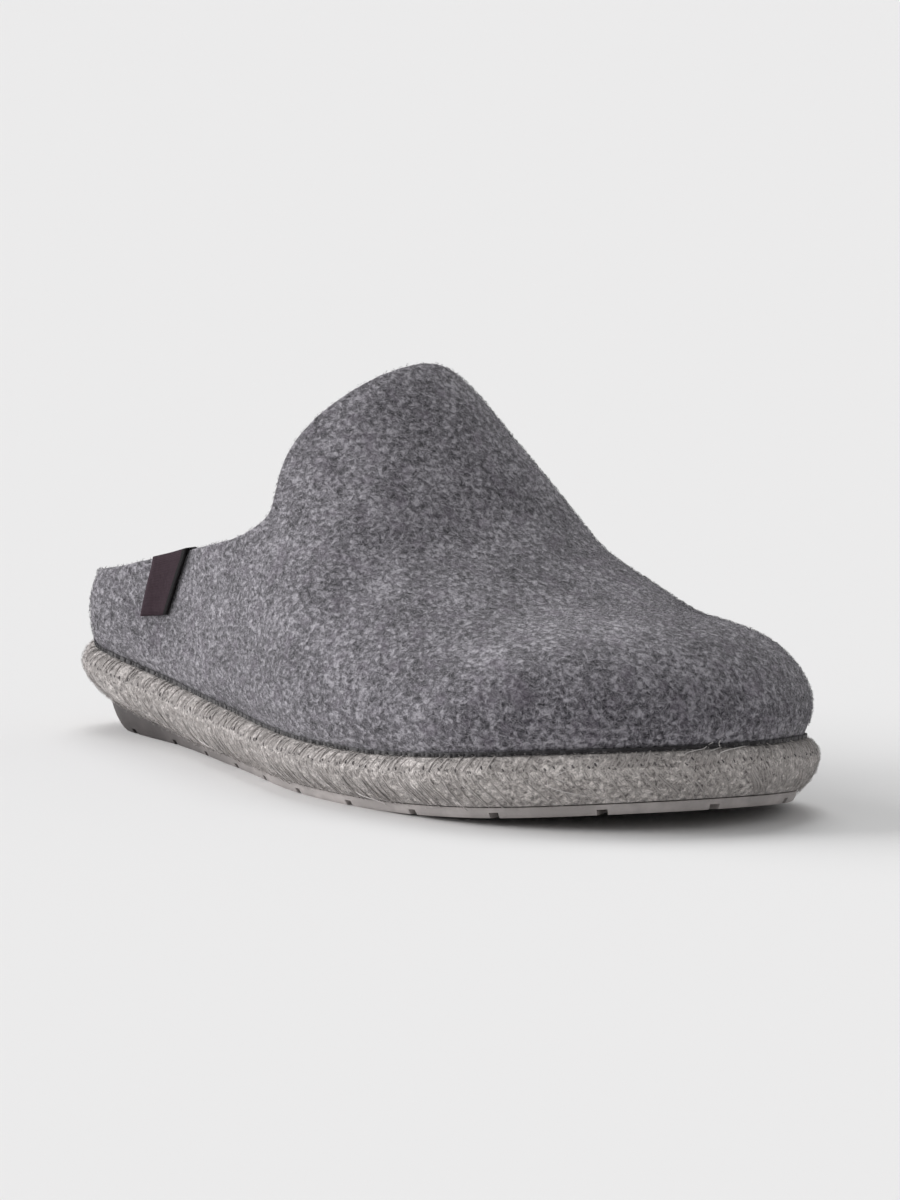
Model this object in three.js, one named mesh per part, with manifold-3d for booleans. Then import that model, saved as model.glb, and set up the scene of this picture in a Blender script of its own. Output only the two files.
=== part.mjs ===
// A wool slipper for the right foot, empty and standing on its sole.
// Millimetres. X runs from the heel to the toe, Z is up, and the outer side of the foot faces -Y.
// The origin is on the floor, under the middle of the slipper.
import * as THREE from "three";
import { mergeVertices } from "three/addons/utils/BufferGeometryUtils.js";
import Module from "manifold-3d";

// Plan of the slipper, at the fullest line of its braided side
const LENGTH = 285;
const HEEL_WIDTH = 73;
const BALL_WIDTH = 103;
const TOE_DRIFT = 11.5; // how far the toe swings toward the inner side
const HEEL_ROUND = 33; // length over which the heel closes
const TOE_ROUND = 57; // length over which the toe closes

// Heights above the floor
const HEEL_SEAT = 24.3; // top of the midsole at the back of the heel
const WAIST_SEAT = 16; // top of the midsole under the arch of the foot
const BALL_SEAT = 14; // top of the midsole under the ball of the foot
const TOE_SEAT = 20; // top of the midsole at the toe
const TOE_SPRING = 5.4; // lift of the tread at the toe
const ARCH_RISE = 1.4; // lift of the tread's inner edge between heel and ball
const COLLAR_BACK = 40.5; // collar at the back of the heel
const INSTEP_HEIGHT = 101.6; // peak of the collar over the instep
const TOE_HEIGHT = 47; // top of the toe box

// Side of the sole: how far each line lies inside the fullest outline
const SEAT_INSET = 3.8; // top edge of the midsole, where the felt goes in
const BAND_FOOT = 4.4; // lower edge of the braided side
const BAND_FOOT_HEEL = 8; // the same at the back of the heel
const RUBBER_STEP = 0.6; // the rubber stands back from the braid by this much
const TREAD_EDGE = 6.2; // edge of the tread on the floor
const TREAD_EDGE_HEEL = 15; // the same at the back of the heel
const RUBBER_SIDE = 2.5; // height of the rubber's side
const RUBBER_SIDE_HEEL = 9.4; // the same at the back of the heel

// Tread: a row of lugs round the edge, parted by notches, and a channel between them and the middle
const NOTCH_PITCH = 27;
const NOTCH_WIDTH = 2.6;
const FIRST_NOTCH = 14; // along the edge, from the back of the heel
const GROOVE_DEPTH = 1.3; // of notches and channel
const CHANNEL_INSET = 22; // outer side of the channel, inside the fullest outline
const CHANNEL_WIDTH = 2.4;
const CUTTER_BELOW = 1; // how far the cutters reach below the tread

// Felt upper
const FELT_WALL = 2.8;
const UPPER_INSET = 1; // fullest line of the felt, inside the fullest outline
const UPPER_INSET_HEEL = 2.6; // the same at the back of the heel
const TUCK_HEIGHT = 11; // height over which the felt turns in to the sole
const EDGE_CROWN = 0.6; // rounding of the cut edge at the collar
const COLLAR_ROLL = 2.2; // how far the collar leans inward at the back of the heel
const ROLL_HEIGHT = 9; // height over which it leans in
const PEAK_AT = 0.483; // peak of the collar, as a share of the length from the heel
const TOE_BOX_AT = 0.9; // where the toe box's height is measured, as a share of the length
const RIDGE_DRIFT = 12; // how far the crest of the upper lies toward the inner side
const HEEL_SHOULDER = 59; // length over which the wall rises at the heel
const TOE_SHOULDER = 68; // length over which the toe box rises

// Footbed and label
const INSOLE_THICKNESS = 5;
const INSOLE_DISH = 1.2; // how far the middle of the footbed lies below its rim
const INSOLE_RIM = 11; // width of that sloping rim
const LABEL_FROM_HEEL = 61; // from the back of the heel to the label's near edge, at the collar
const LABEL_WIDTH = 16.6; // at its outer end
const LABEL_SPREAD = 6.2; // wider by this much where it lies over the collar
const LABEL_LEAN = 4.8; // how far its outer end lies back from there, toward the heel
const LABEL_DROP = 14.6; // how far the label hangs outside
const LABEL_TURN = 11; // how far it is turned inside
const LABEL_THICKNESS = 0.7;

const CLEARANCE = 0.3; // between pieces that touch

// How finely the forms are divided
const SIDE_STEPS = 36; // along each side, from heel to toe
const FINE_STEPS = 240; // along each side, where a line is measured out
const WALL_ROWS = 17; // up the wall of the upper
const NOTCH_STEPS = 4; // along each notch
const LABEL_STEPS = 3; // across the label
const LABEL_ROWS = 3; // down each half of the label

const OUTER = -1;
const INNER = 1;

// Width as shares of the heel's and the ball's width, and the share of it on the outer side
const PLAN = [
  { at: 0.0, heel: 1.02, ball: 0.0, outer: 0.506 },
  { at: 0.2, heel: 0.98, ball: 0.0, outer: 0.495 },
  { at: 0.4, heel: 0.6, ball: 0.36, outer: 0.517 },
  { at: 0.6, heel: 0.15, ball: 0.84, outer: 0.529 },
  { at: 0.72, heel: 0.0, ball: 1.0, outer: 0.507 },
  { at: 0.85, heel: 0.0, ball: 0.985, outer: 0.489 },
  { at: 1.0, heel: 0.0, ball: 0.853, outer: 0.48 },
];
const HEEL_POWER = 2.3;
const TOE_POWER = 2.15;

// Lift of the tread, as shares of the arch's rise on the inner side and of the toe spring
const TREAD = [
  { at: 0.0, arch: 0.0, toe: 0.0 },
  { at: 0.29, arch: 0.0, toe: 0.0 },
  { at: 0.39, arch: 1.0, toe: 0.0 },
  { at: 0.49, arch: 0.0, toe: 0.0 },
  { at: 0.72, arch: 0.0, toe: 0.0 },
  { at: 0.86, arch: 0.0, toe: 0.3 },
  { at: 1.0, arch: 0.0, toe: 1.0 },
];

// Top of the midsole along the foot
const SEAT = [
  { at: 0.0, height: HEEL_SEAT },
  { at: 0.3, height: WAIST_SEAT },
  { at: 0.7, height: BALL_SEAT },
  { at: 1.0, height: TOE_SEAT },
];

// How much the sole's side is like the back of the heel: in its insets and in the rubber's height
const HEEL_SHAPE = [
  { at: 0.0, inset: 1.0, rise: 1.0 },
  { at: 0.07, inset: 0.62, rise: 0.92 },
  { at: 0.13, inset: 0.3, rise: 0.6 },
  { at: 0.2, inset: 0.12, rise: 0.27 },
  { at: 0.3, inset: 0.0, rise: 0.0 },
  { at: 1.0, inset: 0.0, rise: 0.0 },
];

// Section of the braided side, from its foot up: share of the height down from the top edge,
// and shares of the insets at the top edge and at the foot
const BAND = [
  { down: 1.0, top: 0.0, foot: 1.0 },
  { down: 0.8, top: 0.0, foot: 0.5 },
  { down: 0.58, top: 0.0, foot: 0.15 },
  { down: 0.36, top: 0.0, foot: 0.0 },
  { down: 0.17, top: 0.18, foot: 0.0 },
  { down: 0.05, top: 0.56, foot: 0.0 },
  { down: 0.0, top: 1.0, foot: 0.0 },
];

// Section of the rubber's side, from the floor up: shares of its height and of its taper
const RUBBER = [
  { up: 0.0, taper: 1.0 },
  { up: 0.22, taper: 0.58 },
  { up: 0.68, taper: 0.14 },
  { up: 1.0, taper: 0.0 },
];

// Crest of the upper over the midsole, as shares of the rise at the instep and at the toe box,
// its drift toward the inner side, and how square the wall is below it on each side
const CREST = [
  { at: 0.0, instep: 1.1, toe: 0.0, drift: 0.0, outer: 2.4, inner: 2.4, top: 2.1 },
  { at: 0.3, instep: 1.07, toe: 0.0, drift: 0.2, outer: 2.3, inner: 2.35, top: 2.0 },
  { at: 0.42, instep: 1.07, toe: 0.0, drift: 0.42, outer: 1.95, inner: 2.2, top: 1.88 },
  { at: PEAK_AT, instep: 1.0, toe: 0.0, drift: 0.56, outer: 1.8, inner: 2.1, top: 1.85 },
  { at: 0.52, instep: 0.92, toe: 0.0, drift: 0.66, outer: 1.8, inner: 2.1, top: 1.87 },
  { at: 0.62, instep: 0.65, toe: 0.0, drift: 0.88, outer: 1.95, inner: 2.3, top: 2.2 },
  { at: 0.72, instep: 0.3, toe: 0.52, drift: 1.0, outer: 2.15, inner: 2.4, top: 2.6 },
  { at: 0.82, instep: 0.06, toe: 0.95, drift: 1.0, outer: 2.2, inner: 2.45, top: 2.7 },
  { at: 0.91, instep: 0.0, toe: 1.13, drift: 0.95, outer: 2.2, inner: 2.45, top: 2.75 },
  { at: 1.0, instep: 0.0, toe: 1.1, drift: 0.9, outer: 2.2, inner: 2.45, top: 2.75 },
];
const SHOULDER_POWER = 2.3;

// Collar seen from the side, from the back of the heel to its peak: share of the length,
// and share of the rise from the back to the peak
const COLLAR = [
  { along: 0.0, rise: 0.0 },
  { along: 0.08, rise: 0.015 },
  { along: 0.18, rise: 0.088 },
  { along: 0.3, rise: 0.188 },
  { along: 0.415, rise: 0.29 },
  { along: 0.46, rise: 0.42 },
  { along: 0.449, rise: 0.62 },
  { along: PEAK_AT, rise: 1.0 },
];

// Where the wall's upright lines go: share of the way round the sole, and round the collar
const UPRIGHTS = [
  { at: 0.0, collar: 0.0 },
  { at: 0.2, collar: 0.27 },
  { at: 0.38, collar: 0.52 },
  { at: 1.0, collar: 1.0 },
];
const ROW_SPREAD = 1.15; // above 1 the rows lie closer together near the sole
const STEEP_START = 3; // above 1 an upright line is measured more finely where it starts steep

// Small helpers
const clamp = (value) => Math.min(Math.max(value, 0), 1);
const mix = (from, to, share) => from + (to - from) * share;

// A smooth curve through one column of a table, without overshoot between the rows
function curve(rows, column) {
  const last = rows.length - 1;
  const slopes = rows.slice(1).map((row, i) => (row[column] - rows[i][column]) / (row.at - rows[i].at));
  const tangents = rows.map((row, i) => {
    if (i === 0) return slopes[0];
    if (i === last) return slopes[last - 1];
    if (slopes[i - 1] * slopes[i] <= 0) return 0;
    return (2 * slopes[i - 1] * slopes[i]) / (slopes[i - 1] + slopes[i]);
  });
  return (at) => {
    let i = 0;
    while (i < last - 1 && at > rows[i + 1].at) i += 1;
    const span = rows[i + 1].at - rows[i].at;
    const t = clamp((at - rows[i].at) / span);
    const from = rows[i][column];
    const to = rows[i + 1][column];
    const rise = (1 - t) ** 2 * t * tangents[i] - (1 - t) * t ** 2 * tangents[i + 1];
    return mix(from, to, t * t * (3 - 2 * t)) + span * rise;
  };
}

// Grows from 0 to 1 over a distance of 1, like the end of a superellipse
function rounding(distance, power) {
  return (1 - (1 - clamp(distance)) ** power) ** (1 / power);
}

// Points at the given shares of the length of a line
function spread(points, shares) {
  const lengths = [0];
  points.slice(1).forEach((point, i) => lengths.push(lengths[i] + point.distanceTo(points[i])));
  const total = lengths[lengths.length - 1];
  let i = 0;
  return shares.map((share) => {
    while (i < points.length - 2 && share * total > lengths[i + 1]) i += 1;
    const t = (share * total - lengths[i]) / (lengths[i + 1] - lengths[i]);
    return points[i].clone().lerp(points[i + 1], clamp(t));
  });
}

// Evenly spread shares from 0 to 1
const shares = (steps) => Array.from({ length: steps + 1 }, (_, i) => i / steps);

// Heights of the sole along X
const treadArch = curve(TREAD, "arch");
const treadToe = curve(TREAD, "toe");
const seatHeight = curve(SEAT, "height");
const heelInset = curve(HEEL_SHAPE, "inset");
const heelRise = curve(HEEL_SHAPE, "rise");
const archZ = (x, side) => (side === INNER ? ARCH_RISE * treadArch(x / LENGTH) : 0);
const treadZ = (x, side) => archZ(x, side) + TOE_SPRING * treadToe(x / LENGTH);
const rubberTopZ = (x, side) => treadZ(x, side) + mix(RUBBER_SIDE, RUBBER_SIDE_HEEL, heelRise(x / LENGTH));
const seatZ = (x) => seatHeight(x / LENGTH);

// Insets of the sole's lines, by share of the length
const evenly = (inset) => () => inset;
const bandFoot = (share) => mix(BAND_FOOT, BAND_FOOT_HEEL, heelInset(share));
const treadEdge = (share) => mix(TREAD_EDGE, TREAD_EDGE_HEEL, heelInset(share));

// Y of the outline at X, on one side, drawn in by an inset
const widthOfHeel = curve(PLAN, "heel");
const widthOfBall = curve(PLAN, "ball");
const outerPart = curve(PLAN, "outer");
function edgeY(x, side, inset) {
  const share = x / LENGTH;
  const width = HEEL_WIDTH * widthOfHeel(share) + BALL_WIDTH * widthOfBall(share);
  const part = side === OUTER ? outerPart(share) : 1 - outerPart(share);
  const heel = rounding((x - inset(0)) / (HEEL_ROUND - inset(0)), HEEL_POWER);
  const toe = rounding((LENGTH - inset(1) - x) / (TOE_ROUND - inset(1)), TOE_POWER);
  const drift = TOE_DRIFT * clamp(2 * share - 1) ** 2;
  return drift + side * (width * part - inset(share)) * heel * toe;
}

// Closed line round the sole: back of the heel, outer side, toe, inner side
function outline(inset, heightAt, steps = SIDE_STEPS) {
  const points = [];
  for (let i = 0; i < 2 * steps; i += 1) {
    const side = i <= steps ? OUTER : INNER;
    const x = mix(inset(0), LENGTH - inset(1), (1 - Math.cos((Math.PI * i) / steps)) / 2);
    points.push(new THREE.Vector3(x, edgeY(x, side, inset), heightAt(x, side)));
  }
  return points;
}

// Triangles that join each line of points to the next one, facing outward when the lines climb
function wall(rings, from, to) {
  const count = rings[from].length;
  const triangles = [];
  for (let i = 0; i < count; i += 1) {
    const next = (i + 1) % count;
    triangles.push(to * count + i, from * count + i, from * count + next);
    triangles.push(to * count + i, from * count + next, to * count + next);
  }
  return triangles;
}

// Triangles that close a line of points across, from one side to the other
function lid(count, first, up) {
  const triangles = [];
  const add = (a, b, c) => triangles.push(first + a, first + (up ? b : c), first + (up ? c : b));
  for (let i = 0; i < count / 2; i += 1) {
    const across = count - i - 1;
    if (i + 1 !== across) add(i, i + 1, across);
    if (i !== 0) add(i, across, across + 1);
  }
  return triangles;
}

function geometryOf(rings, triangles) {
  const geometry = new THREE.BufferGeometry();
  geometry.setAttribute("position", new THREE.Float32BufferAttribute(rings.flat().flatMap((p) => p.toArray()), 3));
  geometry.setIndex(triangles);
  return geometry;
}

// A solid from closed lines stacked upward, closed by a lid at each end
function stack(rings) {
  const count = rings[0].length;
  const triangles = [...lid(count, 0, false), ...lid(count, (rings.length - 1) * count, true)];
  for (let k = 0; k < rings.length - 1; k += 1) triangles.push(...wall(rings, k, k + 1));
  return geometryOf(rings, triangles);
}

// A hollow solid from closed lines that go up the outside and down the inside
function shell(rings) {
  const triangles = rings.flatMap((ring, k) => wall(rings, k, (k + 1) % rings.length));
  return geometryOf(rings, triangles);
}

// Rubber outsole before the tread is cut: a thin sole with a tapering side
function outsoleBody() {
  const top = (share) => bandFoot(share) + RUBBER_STEP;
  const rings = RUBBER.map(({ up, taper }) =>
    outline(
      (share) => mix(top(share), treadEdge(share), taper),
      (x, side) => mix(treadZ(x, side), rubberTopZ(x, side), up),
    ),
  );
  return stack(rings);
}

// Channel of the tread: a ring that stands up into the rubber
function channelCutter() {
  const below = (x, side) => treadZ(x, side) - CUTTER_BELOW;
  const above = (x, side) => treadZ(x, side) + GROOVE_DEPTH;
  const outside = evenly(CHANNEL_INSET);
  const inside = evenly(CHANNEL_INSET + CHANNEL_WIDTH);
  return shell([outline(outside, below), outline(outside, above), outline(inside, above), outline(inside, below)]);
}

// Notches of the tread, from its edge in to the channel, evenly spread round the sole
function notchCutters() {
  const edge = outline(treadEdge, treadZ, FINE_STEPS);
  const round = [...edge, edge[0]];
  const length = round.slice(1).reduce((sum, point, i) => sum + point.distanceTo(round[i]), 0);
  const count = Math.round((length - FIRST_NOTCH) / NOTCH_PITCH);
  const reach = CHANNEL_INSET + CHANNEL_WIDTH / 2; // from the fullest outline to the channel's middle
  return Array.from({ length: count }, (_, i) => {
    const share = (FIRST_NOTCH + NOTCH_PITCH * i) / length;
    const [here, next] = spread(round, [share, share + 1 / FINE_STEPS]);
    const notch = new THREE.BoxGeometry(NOTCH_WIDTH, reach, GROOVE_DEPTH + CUTTER_BELOW, 1, NOTCH_STEPS, 1);
    notch.translate(0, reach / 2 - treadEdge(here.x / LENGTH), (GROOVE_DEPTH - CUTTER_BELOW) / 2);
    notch.rotateZ(Math.atan2(next.y - here.y, next.x - here.x));
    notch.translate(here.x, here.y, 0);
    return followTread(notch, here.y < 0 ? OUTER : INNER);
  });
}

// Lifts each point of a cutter by the height of the tread there, so that it cuts equally deep all along
function followTread(cutter, side) {
  const points = cutter.attributes.position;
  for (let i = 0; i < points.count; i += 1) {
    const x = LENGTH * clamp(points.getX(i) / LENGTH);
    points.setZ(i, points.getZ(i) + treadZ(x, side));
  }
  return cutter;
}

const wasm = await Module();
wasm.setup();

function toSolid(geometry) {
  const bare = geometry.clone();
  bare.deleteAttribute("normal");
  bare.deleteAttribute("uv");
  const merged = mergeVertices(bare);
  const vertProperties = new Float32Array(merged.attributes.position.array);
  return new wasm.Manifold(new wasm.Mesh({ numProp: 3, vertProperties, triVerts: new Uint32Array(merged.index.array) }));
}

function toGeometry(solid) {
  const mesh = solid.getMesh();
  const geometry = new THREE.BufferGeometry();
  geometry.setAttribute("position", new THREE.BufferAttribute(mesh.vertProperties, 3));
  geometry.setIndex(new THREE.BufferAttribute(mesh.triVerts, 1));
  return geometry;
}

function outsole() {
  const cutters = [channelCutter(), ...notchCutters()].map(toSolid);
  return toGeometry(cutters.reduce((body, cutter) => body.subtract(cutter), toSolid(outsoleBody())));
}

// Midsole: a wedge whose rounded side carries the braid
function midsole() {
  const rings = BAND.map(({ down, top, foot }) =>
    outline(
      (share) => top * SEAT_INSET + foot * bandFoot(share),
      (x, side) => mix(seatZ(x), rubberTopZ(x, side) + CLEARANCE, down),
    ),
  );
  return stack(rings);
}

// Form of the upper: a dome over the last, cut open at the collar
const upperFloorZ = (x) => seatZ(x) + CLEARANCE;
const instepShare = curve(CREST, "instep");
const toeShare = curve(CREST, "toe");
const crestDrift = curve(CREST, "drift");
const crestTop = curve(CREST, "top");
const squareness = { [OUTER]: curve(CREST, "outer"), [INNER]: curve(CREST, "inner") };
const instepRise = INSTEP_HEIGHT - upperFloorZ(PEAK_AT * LENGTH);
const toeRise = TOE_HEIGHT - upperFloorZ(TOE_BOX_AT * LENGTH);
const crestY = (x) => RIDGE_DRIFT * crestDrift(x / LENGTH);
const upperInset = (share) => mix(UPPER_INSET, UPPER_INSET_HEEL, heelInset(share));
const upperEdgeY = (x, side) => edgeY(x, side, upperInset);

function crestRise(x) {
  const rise = instepRise * instepShare(x / LENGTH) + toeRise * toeShare(x / LENGTH);
  const heel = rounding((x - UPPER_INSET_HEEL) / HEEL_SHOULDER, SHOULDER_POWER);
  const toe = rounding((LENGTH - UPPER_INSET - x) / TOE_SHOULDER, SHOULDER_POWER);
  return rise * heel * toe;
}

// Height of the dome over a point of the plan
function domeZ(x, y, side) {
  const out = clamp((y - crestY(x)) / (upperEdgeY(x, side) - crestY(x)));
  const fall = (1 - out ** squareness[side](x / LENGTH)) ** (1 / crestTop(x / LENGTH));
  return upperFloorZ(x) + crestRise(x) * fall;
}

// Where the dome has a given height, on one side
function domeY(x, z, side) {
  const rise = clamp((z - upperFloorZ(x)) / crestRise(x));
  const out = (1 - rise ** crestTop(x / LENGTH)) ** (1 / squareness[side](x / LENGTH));
  return mix(crestY(x), upperEdgeY(x, side), out);
}

// Collar on one side, from the back of the heel to the peak
function collarLine(side) {
  const rows = COLLAR.map(({ along, rise }) => ({ at: 0, x: along * LENGTH, z: mix(COLLAR_BACK, INSTEP_HEIGHT, rise) }));
  for (let i = 1; i < rows.length; i += 1) {
    rows[i].at = rows[i - 1].at + Math.hypot(rows[i].x - rows[i - 1].x, rows[i].z - rows[i - 1].z);
  }
  const end = rows[rows.length - 1].at;
  const xAt = curve(rows, "x");
  const zAt = curve(rows, "z");
  let start = 0;
  while (upperFloorZ(xAt(start)) + crestRise(xAt(start)) < zAt(start)) start += end / (8 * FINE_STEPS);
  return shares(FINE_STEPS).map((share) => {
    const at = mix(start, end, (1 - Math.cos(Math.PI * share)) / 2);
    const x = xAt(at);
    const atCrest = share === 0 || share === 1;
    return new THREE.Vector3(x, atCrest ? crestY(x) : domeY(x, zAt(at), side), zAt(at));
  });
}

// Level direction from a point of the wall toward the middle of the foot
function inward(point) {
  const middle = Math.min(Math.max(point.x, HEEL_ROUND), LENGTH - TOE_ROUND);
  return new THREE.Vector3(middle - point.x, crestY(point.x) - point.y, 0).normalize();
}

// The outer face of the wall on one side, as upright lines from the sole to the collar
function uprights(side) {
  const round = outline(upperInset, upperFloorZ, FINE_STEPS);
  const half = side === OUTER ? round.slice(0, FINE_STEPS + 1) : [round[0], ...round.slice(FINE_STEPS).reverse()];
  const feet = spread(half, shares(SIDE_STEPS));
  const collarShare = curve(UPRIGHTS, "collar");
  const heads = spread(collarLine(side), shares(SIDE_STEPS).map(collarShare));
  const rows = shares(WALL_ROWS).map((share) => share ** ROW_SPREAD);
  return feet.map((foot, i) => {
    const line = shares(FINE_STEPS).map((share) => {
      const point = foot.clone().lerp(heads[i], share ** STEEP_START);
      if (share === 0 || share === 1) return point;
      return point.setZ(domeZ(point.x, point.y, side));
    });
    return spread(line, rows).map((point) => {
      const height = point.z - upperFloorZ(point.x);
      const tuck = (SEAT_INSET - upperInset(point.x / LENGTH)) * clamp(1 - height / TUCK_HEIGHT) ** 2;
      const down = heads[i].z - point.z;
      const roll = COLLAR_ROLL * heelInset(heads[i].x / LENGTH) * clamp(1 - down / ROLL_HEIGHT) ** 2;
      return point.addScaledVector(inward(point), tuck + roll);
    });
  });
}

// Level lines of the outer face, from the sole up to the collar
function outerRows() {
  const outerSide = uprights(OUTER);
  const innerSide = uprights(INNER);
  const around = [...outerSide, ...innerSide.slice(1, SIDE_STEPS).reverse()];
  return shares(WALL_ROWS).map((_, row) => around.map((line) => line[row]));
}

// Direction out of the wall at each point of the outer face
function outwardNormals(rows) {
  const last = rows.length - 1;
  return rows.map((row, k) =>
    row.map((point, i) => {
      const ahead = row[(i + 1) % row.length].clone().sub(row[(i + row.length - 1) % row.length]);
      const up = rows[Math.min(k + 1, last)][i].clone().sub(rows[Math.max(k - 1, 0)][i]);
      return ahead.cross(up).normalize();
    }),
  );
}

const feltRows = outerRows();
const feltNormals = outwardNormals(feltRows);
const feltInside = feltRows.map((row, k) =>
  row.map((point, i) => {
    if (k > 0) return point.clone().addScaledVector(feltNormals[k][i], -FELT_WALL);
    const inner = point.clone().addScaledVector(inward(point), FELT_WALL);
    return inner.setZ(upperFloorZ(inner.x));
  }),
);

// The cut edge of the felt, a little rounded
const feltEdge = feltRows[WALL_ROWS].map((point, i) => {
  const up = point.clone().sub(feltRows[WALL_ROWS - 1][i]).normalize();
  return point.clone().lerp(feltInside[WALL_ROWS][i], 0.5).addScaledVector(up, EDGE_CROWN);
});

function upper() {
  return shell([...feltRows, feltEdge, ...feltInside.slice().reverse()]);
}

// Closed line just inside the felt, at a height over the midsole
function insideLine(height) {
  const above = (point) => point.z - upperFloorZ(point.x);
  return feltInside[0].map((_, i) => {
    let k = 1;
    while (above(feltInside[k][i]) < height) k += 1;
    const low = feltInside[k - 1][i];
    const high = feltInside[k][i];
    const point = low.clone().lerp(high, (height - above(low)) / (above(high) - above(low)));
    point.addScaledVector(inward(point), CLEARANCE);
    return point.setZ(upperFloorZ(point.x) + height);
  });
}

// Footbed, dished a little so that the foot sits in it
function insole() {
  const rim = insideLine(INSOLE_THICKNESS);
  const dish = rim.map((point) => point.clone().addScaledVector(inward(point), INSOLE_RIM));
  dish.forEach((point) => point.setZ(upperFloorZ(point.x) + INSOLE_THICKNESS - INSOLE_DISH));
  return stack([insideLine(0), rim, dish]);
}

// Upright line down one face of the felt, at one X on the outer side
function downLine(rows, x) {
  const line = rows.map((row) => {
    let i = 0;
    while (row[i + 1].x < x) i += 1;
    return row[i].clone().lerp(row[i + 1], (x - row[i].x) / (row[i + 1].x - row[i].x));
  });
  return line.reverse();
}

// Points at the given depths down an upright line
function atDepths(line, depths) {
  const length = line.slice(1).reduce((sum, point, i) => sum + point.distanceTo(line[i]), 0);
  return spread(line, depths.map((depth) => depth / length));
}

// Section of the label at a share of its width: up the outside, over the edge, down the inside
function labelSection(share) {
  const topX = LABEL_FROM_HEEL + (LABEL_WIDTH + LABEL_SPREAD) * share;
  const endX = LABEL_FROM_HEEL - LABEL_LEAN + LABEL_WIDTH * share;
  const outerPoints = shares(LABEL_ROWS).reverse().map((down) =>
    atDepths(downLine(feltRows, mix(topX, endX, down)), [LABEL_DROP * down])[0],
  );
  const insideTop = downLine([feltInside[WALL_ROWS]], topX)[0];
  const edge = downLine([feltEdge], topX)[0];
  const innerPoints = atDepths(downLine(feltInside, topX), shares(LABEL_ROWS).map((down) => LABEL_TURN * down));
  const path = [...outerPoints, edge, ...innerPoints];
  const out = outerPoints[LABEL_ROWS].clone().sub(insideTop).normalize();
  const up = new THREE.Vector3(0, 0, 1);
  const crown = LABEL_ROWS + 1;
  const offset = (distance) => path.map((point, i) => {
    const moved = point.clone().addScaledVector(out, Math.sign(crown - i) * distance);
    return Math.abs(crown - i) <= 1 ? moved.addScaledVector(up, distance) : moved;
  });
  return [...offset(CLEARANCE), ...offset(CLEARANCE + LABEL_THICKNESS).reverse()];
}

// Folded ribbon label, laid over the collar near the heel
function label() {
  return ribbon(shares(LABEL_STEPS).map(labelSection));
}

// A solid from sections of one ribbon: each goes along one face and back along the other
function ribbon(sections) {
  const count = sections[0].length;
  const triangles = [];
  for (let k = 0; k < sections.length - 1; k += 1) triangles.push(...wall(sections, k, k + 1));
  const last = (sections.length - 1) * count;
  for (let i = 0; i < count / 2 - 1; i += 1) {
    const across = count - 1 - i;
    triangles.push(i, across, i + 1, i + 1, across, across - 1);
    triangles.push(last + i, last + i + 1, last + across, last + i + 1, last + across - 1, last + across);
  }
  return geometryOf(sections, triangles);
}

// Materials
const felt = new THREE.MeshStandardMaterial({ color: 0x66666c, roughness: 1.0, metalness: 0.0 });
const jute = new THREE.MeshStandardMaterial({ color: 0x8b8780, roughness: 0.9, metalness: 0.0 });
const rubber = new THREE.MeshStandardMaterial({ color: 0x5d5654, roughness: 0.75, metalness: 0.0 });
const footbed = new THREE.MeshStandardMaterial({ color: 0x74747a, roughness: 1.0, metalness: 0.0 });
const ribbonWeave = new THREE.MeshStandardMaterial({ color: 0x40383c, roughness: 0.7, metalness: 0.0 });

function piece(name, geometry, material) {
  const mesh = new THREE.Mesh(geometry, material);
  mesh.name = name;
  return mesh;
}

const slipper = new THREE.Group();
slipper.add(
  piece("outsole", outsole(), rubber),
  piece("midsole", midsole(), jute),
  piece("upper", upper(), felt),
  piece("insole", insole(), footbed),
  piece("label", label(), ribbonWeave),
);

// Moves the floor under the middle of the slipper to the origin
const box = new THREE.Box3().setFromObject(slipper);
const middle = box.getCenter(new THREE.Vector3());
slipper.position.set(-middle.x, -middle.y, 0);

export default slipper;
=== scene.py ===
import math

import bpy
import numpy as np
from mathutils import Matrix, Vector, noise


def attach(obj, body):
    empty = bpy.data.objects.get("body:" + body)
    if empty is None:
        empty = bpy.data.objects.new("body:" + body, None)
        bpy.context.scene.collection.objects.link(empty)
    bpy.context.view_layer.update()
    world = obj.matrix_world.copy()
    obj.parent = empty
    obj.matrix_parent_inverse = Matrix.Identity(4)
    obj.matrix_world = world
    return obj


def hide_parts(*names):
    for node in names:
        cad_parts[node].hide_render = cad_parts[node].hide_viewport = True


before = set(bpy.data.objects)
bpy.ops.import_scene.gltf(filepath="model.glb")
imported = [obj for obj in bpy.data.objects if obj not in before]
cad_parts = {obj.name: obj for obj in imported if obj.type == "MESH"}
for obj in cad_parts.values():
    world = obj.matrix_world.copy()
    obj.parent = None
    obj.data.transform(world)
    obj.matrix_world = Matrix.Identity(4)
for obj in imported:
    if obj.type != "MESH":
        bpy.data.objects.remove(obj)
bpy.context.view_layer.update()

# A wool felt slipper for the right foot, with a braided sole edge and a rubber outsole.
# The forms are worked out in millimetres, with X from the back of the heel to the toe, Z up
# and the outer side of the foot toward -Y. They become metres when a mesh is made.
MM = 0.001

# Plan of the slipper, at the fullest line of its braided side
LENGTH = 285
HEEL_WIDTH = 73
BALL_WIDTH = 103
TOE_DRIFT = 11.5
HEEL_ROUND = 33
TOE_ROUND = 57
HEEL_POWER = 2.3
TOE_POWER = 2.15

# Heights above the floor
HEEL_SEAT = 24.3
WAIST_SEAT = 16
BALL_SEAT = 14
TOE_SEAT = 20
TOE_SPRING = 5.4
ARCH_RISE = 1.4
COLLAR_BACK = 40.5
INSTEP_HEIGHT = 101.6
TOE_HEIGHT = 47

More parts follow.
